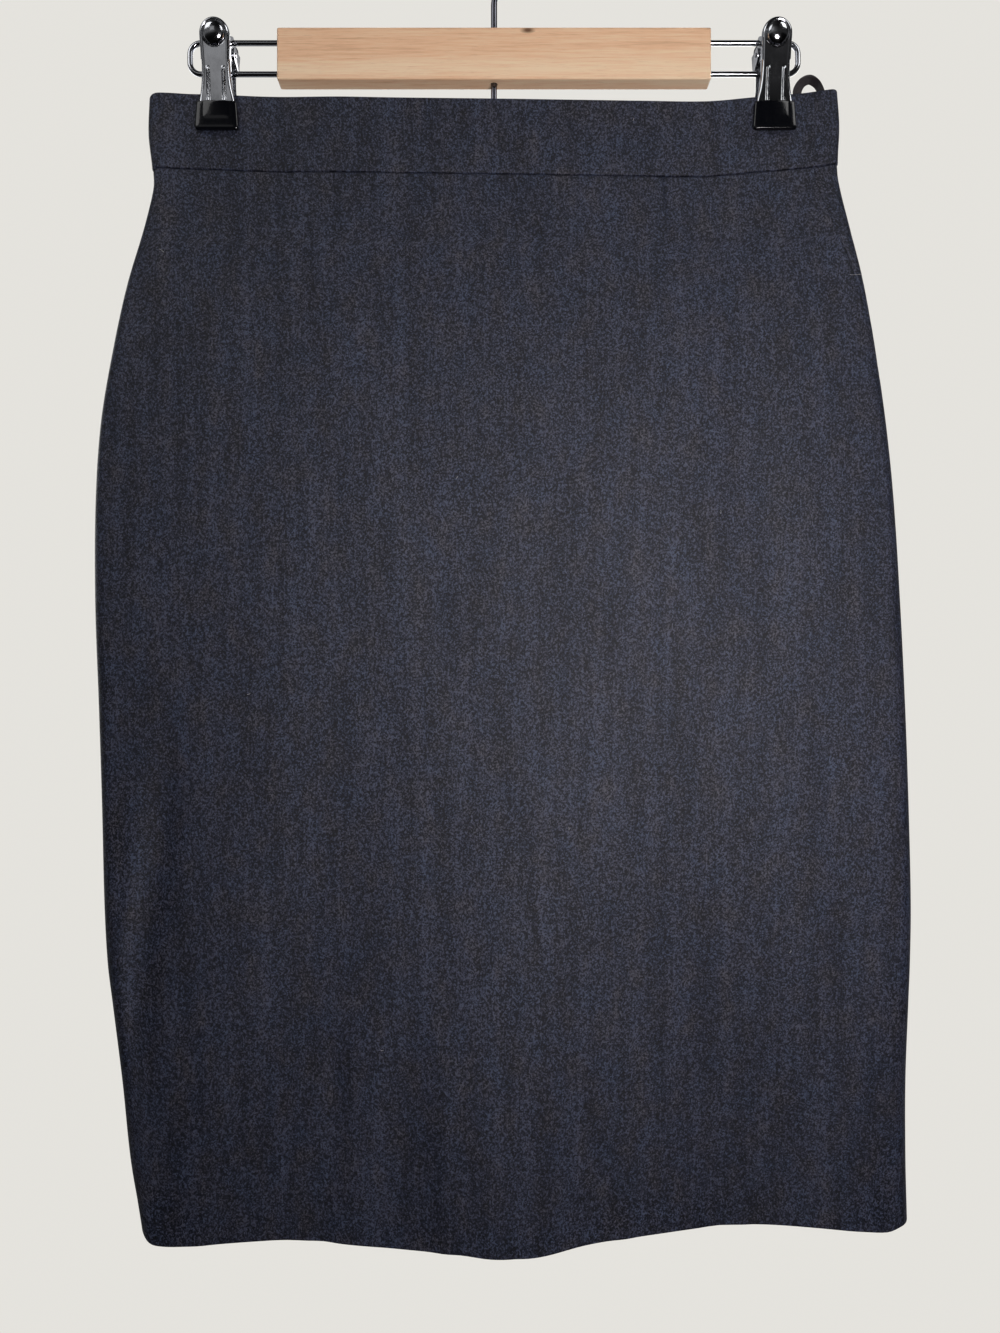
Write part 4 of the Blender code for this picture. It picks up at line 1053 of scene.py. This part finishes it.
def applyModifiers(piece):
    bpy.context.view_layer.update()
    ready = piece.evaluated_get(bpy.context.evaluated_depsgraph_get())
    mesh = bpy.data.meshes.new_from_object(ready)
    piece.modifiers.clear()
    piece.data = mesh
    mesh.shade_smooth()
    mesh.set_sharp_from_angle(angle=math.radians(45))


# Hanging loop of narrow satin ribbon: x, y, height above the waist line, turn of its width.
ribbonRoute = (
    (169.4, 0.0, -13.0, 0), (168.6, 0.0, -6.0, 0), (167.6, 0.0, 0.5, 4), (168.0, -0.3, 3.8, 10),
    (170.4, -0.6, 7.2, 26), (174.2, -0.8, 8.6, 44), (177.8, -0.6, 6.8, 58),
    (180.0, -0.3, 3.8, 64), (180.9, 0.0, 1.0, 54), (180.7, 0.0, -2.8, 8),
    (180.2, 0.0, -7.0, 0), (179.6, 0.0, -13.0, 0))
ribbonCut = {"wide": 5.0, "thick": 0.5, "rows": 90, "crown": 0.18, "edgeShare": 0.95,
             "middleThin": 0.5, "edgeThin": 0.15,
             "shares": (-1.0, -0.93, -0.6, -0.2, 0.2, 0.6, 0.93, 1.0)}


def makeRibbon(finish):
    places = np.linspace(0, len(ribbonRoute) - 1, ribbonCut["rows"])
    tables = [[(row, values[k]) for row, values in enumerate(ribbonRoute)] for k in range(4)]
    xs, ys, rises, turns = (curveValue(table, places) for table in tables)
    route = np.stack([xs, ys, skirtCut["waistLevel"] + rises], axis=-1)
    ahead = np.gradient(route, axis=0)
    ahead /= np.linalg.norm(ahead, axis=1, keepdims=True)
    length = np.concatenate([[0], np.cumsum(np.linalg.norm(np.diff(route, axis=0), axis=1))])
    shares = ribbonCut["shares"]
    upper, lower, weave = [], [], []
    for place, way, turn, run in zip(route, ahead, turns, length):
        flat = Vector((0.0, -1.0, 0.0))
        across = flat.cross(Vector(way)).normalized()
        across = Matrix.Rotation(math.radians(turn), 3, Vector(way)) @ across
        thick = np.array(across.cross(Vector(way)).normalized())
        across = np.array(across)
        for share in shares:
            lift = ribbonCut["crown"] * (1 - share * share)
            inside = abs(share) < ribbonCut["edgeShare"]
            thin = ribbonCut["thick"] * ribbonCut["middleThin" if inside else "edgeThin"]
            base = place + across * share * ribbonCut["wide"] / 2 + thick * lift
            upper.append(base + thick * thin)
            lower.append(base - thick * thin)
            weave.append((share * ribbonCut["wide"] / 2, run))
    faces = shellFaces(len(route), len(shares))
    piece = meshPiece("hangingLoop", upper + lower, faces, finish, "ribbon", 60.0, weave + weave)
    faceOut(piece)
    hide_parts("hanging_loop")


# Hanger: hook and rods of plated wire, and a wooden bar.
barCut = {"long": 238.0, "deep": 11.0, "tall": 28.5, "centre": -80.2}
rodCut = {"radius": 1.5, "spacing": 17.2, "reach": 168.0, "bend": 6.2, "plug": 36.0,
          "straight": 4.0}
hookCut = {"radius": 1.7, "crown": 19.0, "tail": -112.0, "neck": 14.0, "endAngle": 208.0}


def arcPoints(centre, radius, start, end, count):
    points = []
    for step in range(count + 1):
        angle = math.radians(start + (end - start) * step / count)
        points.append((centre[0] + radius * math.cos(angle), 0.0,
                       centre[1] + radius * math.sin(angle)))
    return points


def makeRods(chrome):
    half = rodCut["spacing"] / 2
    inner = barCut["long"] / 2 - rodCut["plug"]
    corner = rodCut["reach"] - rodCut["bend"]
    low, high = barCut["centre"] - half, barCut["centre"] + half
    lower = arcPoints((corner, low + rodCut["bend"]), rodCut["bend"], -90, 0, 14)
    upper = arcPoints((corner, high - rodCut["bend"]), rodCut["bend"], 0, 90, 14)
    route = [(inner, 0.0, low), (inner + rodCut["straight"], 0.0, low), *lower, *upper,
             (inner + rodCut["straight"], 0.0, high), (inner, 0.0, high)]
    for name, node, side in (("rodLoopLeft", "rod_loop_left", -1),
                             ("rodLoopRight", "rod_loop_right", 1)):
        path = [(side * x, y, z) for x, y, z in route]
        points, faces = tubeMesh(path, rodCut["radius"], 20)
        piece = meshPiece(name, points, faces, chrome, "chrome", 50.0)
        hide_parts(node)


def makeHook(chrome):
    crown = hookCut["crown"] + hookCut["radius"]
    neck = hookCut["neck"]
    crownCentre = (0.0, -hookCut["crown"])
    reach = crown + neck
    neckCentre = (neck, -hookCut["crown"] - math.sqrt(reach ** 2 - neck ** 2))
    slope = math.degrees(math.atan2(crownCentre[1] - neckCentre[1], -neck))
    stem = [(0.0, 0.0, hookCut["tail"]), (0.0, 0.0, hookCut["tail"] + 6.0),
            (0.0, 0.0, neckCentre[1] - 2.0)]
    turned = arcPoints(neckCentre, neck, 180.0, slope, 10)
    over = arcPoints(crownCentre, crown, slope - 180.0, hookCut["endAngle"], 56)
    points, faces = roundedTube(stem + turned + over[1:], hookCut["radius"], 20)
    piece = meshPiece("hookWire", points, faces, chrome, "chrome", 50.0)
    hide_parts("hook")


# Clips: pressed plates with rolled edges, a dome over the round end and two ribs, dipped
# in vinyl at the jaws. Rises are measured from the jaw's tip.
clipCut = {
    "tip": -121.7, "pivot": 43.2, "plateStart": 3.0, "plateRow": 0.6, "shell": 0.63,
    "crownRise": 49.3, "crownRadius": 8.3, "crownSlope": 0.24, "rollReach": 1.5,
    "bead": 0.10, "beadPlace": 1.6, "beadHalf": 0.5, "beadFrom": 16.0, "beadFull": 24.0,
    "domeRadius": 5.9, "domeHeight": 2.9, "groove": 0.35, "groovePlace": 1.04, "grooveHalf": 0.06,
    "ribPlace": 4.3, "ribHalf": 1.15, "ribHeight": 1.1, "ribTop": 33.2,
    "earPlace": (7.0, 8.2), "earThick": 0.9, "earRadius": 3.8, "earBelow": 6.5, "earAbove": 5.0,
    "earIn": 0.6, "earSteps": 28, "rodEye": 3.2,
    "pinHalf": 9.8, "pinRadius": 1.0, "headRadius": 1.45, "headRound": 1.3, "headTip": 0.5,
    "coatTall": 15.2, "coatTip": 12.0, "coatTop": 10.9, "coatInner": 2.95, "coatOuter": 6.3,
    "coatSteps": 72, "coatSquareX": 0.30, "coatSquareY": 0.60,
    "coatRib": 1.1, "coatRibFrom": 5.0, "coatRibFull": 7.2, "coatRibHalf": 2.0}
# rise, outer face from the middle, half width, depth of the rolled edge
plateRows = ((3.0, 5.2, 9.8, 0.8), (14.0, 5.2, 9.8, 0.9), (17.0, 5.4, 9.5, 1.2),
             (21.0, 5.9, 8.9, 2.0), (27.0, 6.8, 8.3, 2.8), (35.0, 8.1, 8.0, 3.2),
             (39.6, 9.0, 8.1, 2.6), (46.8, 10.6, 8.3, 2.2), (49.3, 11.15, 8.3, 2.2))


# rise, and how far the dipped coat draws in there to round its ends
coatRows = ((0.0, 1.2), (0.12, 0.7), (0.45, 0.36), (1.0, 0.14), (1.8, 0.04), (2.8, 0.0),
            (3.8, 0.0), (4.6, 0.0), (5.2, 0.0), (5.8, 0.0), (6.4, 0.0), (7.0, 0.0), (7.8, 0.0),
            (9.0, 0.0), (11.0, 0.0), (13.0, 0.0), (14.2, 0.02), (14.8, 0.12), (15.1, 0.35),
            (15.2, 0.7))


def plateValue(column, rise):
    pairs = [(row[0], row[column]) for row in plateRows]
    return curveValue(pairs, np.minimum(rise, clipCut["crownRise"]))


def makePlate(name, node, clipX, side, chrome):
    cut = clipCut
    lower = np.arange(cut["plateStart"], cut["crownRise"], cut["plateRow"])
    angles = np.radians(np.linspace(0, 88.5, 26))
    rises = np.concatenate([lower, cut["crownRise"] + cut["crownRadius"] * np.sin(angles)])
    shares = np.sin(np.linspace(-1, 1, 97) * math.pi / 2)
    above = np.maximum(rises - cut["crownRise"], 0.0)
    half = np.where(above > 0, np.sqrt(np.maximum(cut["crownRadius"] ** 2 - above ** 2, 0.02)),
                    plateValue(2, rises))
    stand = plateValue(1, rises) + above * cut["crownSlope"]
    edge = plateValue(3, rises)
    x = half[:, None] * shares[None, :]
    rise = np.broadcast_to(rises[:, None], x.shape)
    # Rolled edge, by the distance in from the outline.
    fromMiddle = np.hypot(x, np.maximum(rise - cut["crownRise"], 0.0))
    fromEdge = np.where(rise > cut["crownRise"], cut["crownRadius"] - fromMiddle,
                        half[:, None] - np.abs(x))
    roll = np.clip(1.0 - fromEdge / cut["rollReach"], 0.0, 1.0)
    face = stand[:, None] - edge[:, None] * (1.0 - np.sqrt(1.0 - roll ** 2 * 0.999))
    # A fine bead just inside the roll.
    bead = cut["bead"] * np.exp(-((fromEdge - cut["beadPlace"]) / cut["beadHalf"]) ** 2)
    face = face + bead * smoothStep(rise, cut["beadFrom"], cut["beadFull"])
    # The dome, with a groove round its foot.
    away = np.hypot(x, rise - cut["crownRise"]) / cut["domeRadius"]
    dome = cut["domeHeight"] * np.sqrt(np.clip(1.0 - away ** 2, 0.0, 1.0))
    groove = -cut["groove"] * np.exp(-((away - cut["groovePlace"]) / cut["grooveHalf"]) ** 2)
    face = face + dome + groove
    ribEnd = np.maximum(rise - (cut["ribTop"] - cut["ribHalf"]), 0.0)
    for way in (-1, 1):
        off = np.hypot(x - way * cut["ribPlace"], ribEnd) / cut["ribHalf"]
        face = face + cut["ribHeight"] * (0.5 + 0.5 * np.cos(math.pi * np.clip(off, 0, 1)))
    outer = np.stack([clipX + x, side * face, cut["tip"] + rise], axis=-1)
    # The inner face follows under the outer one, measured along its normal.
    out = np.cross(np.gradient(outer, axis=1), np.gradient(outer, axis=0))
    out /= np.maximum(np.linalg.norm(out, axis=-1, keepdims=True), 1e-9)
    out = np.where((out[..., 1:2] * side) < 0, -out, out)
    inner = outer - out * cut["shell"]
    points = np.concatenate([outer.reshape(-1, 3), inner.reshape(-1, 3)])
    parts = [(points, shellFaces(*x.shape))]
    parts += [earShape(clipX, way, side) for way in (-1, 1)]
    piece = meshPiece(name, *joinMeshes(parts), chrome, "chrome", 42.0)
    faceOut(piece)
    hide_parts(node)


def earShape(clipX, way, side):
    # Side wall round the pin, and on the front plate round the upper rod too.
    cut = clipCut
    pivot = cut["tip"] + cut["pivot"]
    rod = barCut["centre"] + rodCut["spacing"] / 2
    rounds = [(pivot, cut["earRadius"])]
    if side < 0:
        rounds.append((rod, cut["rodEye"]))
    places = []
    for level, radius in rounds:
        for step in range(cut["earSteps"]):
            angle = 2 * math.pi * step / cut["earSteps"]
            places.append((radius * math.cos(angle), level + radius * math.sin(angle)))
    for rise in (cut["pivot"] - cut["earBelow"], cut["pivot"] + cut["earAbove"]):
        places.append((side * (float(plateValue(1, rise)) - cut["earIn"]), cut["tip"] + rise))
    near = clipX + way * cut["earPlace"][0 if side < 0 else 1]
    plate, faces = roundedPlate(hullOutline(places), 0.0, cut["earThick"], 0.18, 2)
    return [(near + way * y, x, z) for x, y, z in plate], faces


def hullOutline(places):
    # Convex outline, anticlockwise.
    places = sorted(set((round(x, 6), round(z, 6)) for x, z in places))

    def chain(run):
        kept = []
        for p in run:
            while len(kept) > 1 and ((kept[-1][0] - kept[-2][0]) * (p[1] - kept[-2][1])
                                     - (kept[-1][1] - kept[-2][1]) * (p[0] - kept[-2][0])) <= 1e-9:
                kept.pop()
            kept.append(p)
        return kept[:-1]
    return chain(places) + chain(places[::-1])


def makeCoat(name, node, clipX, side, finish):
    cut = clipCut
    deepHalf = (cut["coatOuter"] - cut["coatInner"]) / 2
    middle = (cut["coatOuter"] + cut["coatInner"]) / 2
    points = []
    for rise, shrink in coatRows:
        half = cut["coatTip"] + (cut["coatTop"] - cut["coatTip"]) * rise / cut["coatTall"] - shrink
        deep = deepHalf - shrink * 0.6
        ribbed = cut["coatRib"] * float(smoothStep(rise, cut["coatRibFrom"], cut["coatRibFull"]))
        for step in range(cut["coatSteps"]):
            angle = 2 * math.pi * step / cut["coatSteps"]
            c, s = math.cos(angle), math.sin(angle)
            x = half * math.copysign(abs(c) ** cut["coatSquareX"], c)
            y = deep * math.copysign(abs(s) ** cut["coatSquareY"], s)
            for way in (-1, 1):
                off = min(1.0, abs(x - way * cut["ribPlace"]) / cut["coatRibHalf"])
                y += ribbed * max(s, 0.0) * (0.5 + 0.5 * math.cos(math.pi * off))
            points.append((clipX + x, side * (middle + y), cut["tip"] + rise))
    faces = ringFaces(len(coatRows), cut["coatSteps"])
    piece = meshPiece(name, points, faces, finish, "coating", 60.0)
    faceOut(piece)
    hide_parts(node)


def makePin(name, node, clipX, chrome):
    cut = clipCut
    pivot = cut["tip"] + cut["pivot"]
    # Distance in from each end, and the pin's radius there: a low head on each side.
    end = ((0.0, cut["headTip"]), (0.15, cut["headRound"]), (0.55, cut["headRadius"]),
           (0.6, cut["pinRadius"]))
    profile = [(depth - cut["pinHalf"], radius) for depth, radius in end]
    profile += [(cut["pinHalf"] - depth, radius) for depth, radius in end[::-1]]
    path = [(clipX + x, 0.0, pivot) for x, _ in profile]
    points, faces = tubeMesh(path, [radius for _, radius in profile], 20)
    piece = meshPiece(name, points, faces, chrome, "chrome", 45.0)
    faceOut(piece)
    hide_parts(node)


springCut = {"radius": 1.85, "wire": 0.5, "turns": 3.5, "turnSteps": 28, "pitch": 1.4,
             "leg": (9.4, 8.6)}


def makeSpring(name, node, clipX, chrome):
    cut = springCut
    pivot = clipCut["tip"] + clipCut["pivot"]
    steps = int(cut["turns"] * cut["turnSteps"])
    first = clipX - cut["turns"] * cut["pitch"] / 2
    points = []
    for step in range(steps + 1):
        turned = step / cut["turnSteps"]
        angle = math.radians(180.0 + 360.0 * turned)
        points.append((first + cut["pitch"] * turned, cut["radius"] * math.cos(angle),
                       pivot + cut["radius"] * math.sin(angle)))
    reach, rise = cut["leg"]
    path = [(points[0][0], -reach, pivot + rise), *points, (points[-1][0], reach, pivot + rise)]
    shape, faces = roundedTube(path, cut["wire"], 9)
    piece = meshPiece(name, shape, faces, chrome, "chrome", 60.0)
    faceOut(piece)
    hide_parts(node)


def makeClips(chrome, coating):
    for label, big, clipX in (("left", "Left", skirtCut["clipPlaces"][0]),
                              ("right", "Right", skirtCut["clipPlaces"][1])):
        for face, bigFace, side in (("front", "Front", -1), ("back", "Back", 1)):
            makePlate(f"clip{big}Plate{bigFace}", f"clip_{label}_plate_{face}", clipX, side, chrome)
            makeCoat(f"clip{big}Coat{bigFace}", f"clip_{label}_coat_{face}", clipX, side, coating)
        makePin(f"clip{big}Pin", f"clip_{label}_pin", clipX, chrome)
        makeSpring(f"clip{big}Spring", f"clip_{label}_spring", clipX, chrome)


# Lint caught on the cloth: x, drop, turn in degrees, length.
lintBits = ((76.0, 10.8, 80, 1.5), (-182.0, 88.0, 150, 3.2), (198.0, 102.0, 5, 6.5),
            (-20.0, 214.0, 70, 1.6), (122.0, 232.0, 95, 2.0), (-132.0, 330.0, 30, 1.8),
            (40.0, 402.0, 110, 1.5), (160.0, 470.0, 60, 1.6), (-60.0, 520.0, 15, 1.5))
lintLook = {"dark": (0.18, 0.18, 0.19), "light": (0.46, 0.45, 0.44), "grainSize": (0.5, 0.5, 0.5),
            "radius": 0.11, "lift": 0.25, "rise": 0.15, "curl": 0.35}


def makeLint():
    look = lintLook
    finish, tree, shader = newFinish("lint_fibre", Roughness=0.8)
    fluff = noise(tree, pieceField(tree), look["grainSize"], detail=1.0)
    colour = ramp(tree, fluff, ((0.3, look["dark"]), (0.7, look["light"])))
    feed(tree, shader, "Base Color", colour)
    parts = []
    for x, drop, lean, length in lintBits:
        turn = turnAt(np.array([x]), np.array([drop]), "front")
        place = skirtPoint(turn, np.array([drop]))[0]
        out = skirtNormal(turn, np.array([drop]))[0]
        lift = look["lift"] + (skirtCut["bandProud"] if drop < skirtCut["bandTall"] else 0.0)
        way = np.array([math.cos(math.radians(lean)), 0.0, math.sin(math.radians(lean))])
        side = np.cross(way, out)
        path = [place + out * (lift + look["rise"] * math.sin(3 * t)) + way * length * (t - 0.5)
                + side * look["curl"] * math.sin(2.6 * t) for t in np.linspace(0, 1, 7)]
        parts.append(tubeMesh(path, look["radius"], 6))
    points, faces = joinMeshes(parts)
    meshPiece("lint", points, faces, finish, None, 60.0)


studio = {
    "pale": (0.78, 0.765, 0.725), "floorLevel": -1650.0, "floorSize": 40000.0,
    # the room in gloss, each from, to, low, high: eye level, under it, across, behind
    "room": {"level": (0.40, 0.04, (0.02, 0.12)), "under": (-0.15, 0.02, (0.1, 1.0)),
             "across": (0.10, -0.35, (0.25, 1.5)), "behind": (0.05, 0.6, (0.0, 0.35))},
    # name: place, aim, size, power, colour, seen in gloss
    "lights": {
        "key": ((190, -600, -404), (60, 0, -410), 0.22, 3.1, (1.0, 0.955, 0.97), True),
        "fill": ((0, -1300, 260), (0, 0, -100), 1.4, 4.2, (1.0, 0.98, 0.97), False),
        "overhead": ((0, -100, 1500), (0, 0, -400), 1.6, 7.0, (1.0, 0.99, 0.97), False),
        "back": ((500, 1300, 100), (0, 0, -380), 1.2, 11.0, (1.0, 0.99, 0.97), True),
        "backLeft": ((-900, 900, -100), (0, 0, -380), 1.0, 5.0, (0.96, 0.98, 1.0), True)},
    # glowing cards that only gloss sees: place, aim, wide, tall, power
    "cards": {
        "cardLeft": ((-900, -700, 600), (-150, 0, -80), 0.8, 0.7, 3.5),
        "cardRight": ((900, -700, 600), (150, 0, -80), 0.6, 0.6, 3.5),
        "cardPlate": ((-520, -1425, 240), (-152, 0, -80), 0.55, 0.42, 0.19)}}


def addLamp(name, place, aim, power, colour, wide, tall=None):
    data = bpy.data.lights.new(name, "AREA")
    data.shape = "RECTANGLE" if tall else "DISK"
    data.size = wide
    if tall:
        data.size_y = tall
    data.energy = power
    data.color = colour
    lamp = bpy.data.objects.new(name, data)
    lamp.location = Vector(place) * mm
    lamp.rotation_euler = (Vector(place) - Vector(aim)).to_track_quat("Z", "Y").to_euler()
    bpy.context.scene.collection.objects.link(lamp)
    lamp.visible_camera = False
    return lamp


def makeStudio():
    size = studio["floorSize"] * mm / 2
    mesh = bpy.data.meshes.new("studioFloor")
    level = studio["floorLevel"] * mm
    mesh.from_pydata([(-size, -size, level), (size, -size, level), (size, size, level),
                      (-size, size, level)], [], [(0, 1, 2, 3)])
    floor = bpy.data.objects.new("studioFloor", mesh)
    bpy.context.scene.collection.objects.link(floor)
    finish, tree, shader = newFinish("floor_paint", Roughness=0.9)
    shader.inputs["Base Color"].default_value = (0.0, 0.0, 0.0, 1.0)
    shader.inputs["Specular IOR Level"].default_value = 0.0
    shader.inputs["Emission Color"].default_value = (*studio["pale"], 1.0)
    shader.inputs["Emission Strength"].default_value = 1.0
    mesh.materials.append(finish)
    floor.visible_diffuse = False
    floor.visible_glossy = False
    for name, (place, aim, width, power, colour, inGloss) in studio["lights"].items():
        addLamp(name, place, aim, power, colour, width).visible_glossy = inGloss
    for name, (place, aim, wide, tall, power) in studio["cards"].items():
        addLamp(name, place, aim, power, (1.0, 1.0, 1.0), wide, tall).visible_diffuse = False
    world = bpy.data.worlds.new("studio")
    bpy.context.scene.world = world
    world.use_nodes = True
    tree = world.node_tree
    back = tree.nodes["Background"]
    way = splitField(tree, addNode(tree, "ShaderNodeTexCoord").outputs["Generated"])
    # A dim room in front, lighter at eye level, and a pale wall behind.
    room = studio["room"]
    level = spread(tree, calc(tree, "ABSOLUTE", way[2]), *room["level"])
    across = spread(tree, way[0], *room["across"])
    under = spread(tree, way[2], *room["under"])
    band = calc(tree, "MULTIPLY", calc(tree, "MULTIPLY", level, under), across)
    glow = calc(tree, "ADD", band, spread(tree, way[1], *room["behind"]))
    shown = mixColour(tree, glow, (0.0, 0.0, 0.0), (1.0, 1.0, 1.02))
    seen = addNode(tree, "ShaderNodeLightPath").outputs["Is Camera Ray"]
    tree.links.new(mixColour(tree, seen, shown, studio["pale"]), back.inputs["Color"])
    bpy.context.scene.view_settings.view_transform = "Standard"


def makeZip():
    tapeFinish = makeTapeFinish()
    for name, node, side in (("zipTapeRight", "zip_tape_right", 1),
                             ("zipTapeLeft", "zip_tape_left", -1)):
        tape = zipTape(name, side, tapeFinish)
        faceOut(tape)
        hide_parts(node)
    coil = zipChain(makeNylon())
    faceOut(coil)
    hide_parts("zip_chain")
    zipMetal = makeChrome("zip_metal", chromeLook["zip"], 0.2, 0.25)
    makeSlider(zipMetal)
    makePull(zipMetal)


def makeBar(wood):
    # The bar keeps its own solid and only takes the wood.
    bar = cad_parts["bar"]
    bar.data.materials.clear()
    bar.data.materials.append(wood)


makeCamera()
print("camera placed")
makeSkirt(makeWorsted())
print("skirt cut and hung")
makeZip()
print("zip made")
makeRibbon(makeRibbonFinish())
chrome = makeChrome("chrome_plate", chromeLook["plate"])
makeRods(chrome)
makeHook(makeChrome("dark_wire", chromeLook["wire"]))
makeBar(makeWood())
makeClips(chrome, makeCoating())
print("hanger made")
makeLint()
makeStudio()
print("studio lit")
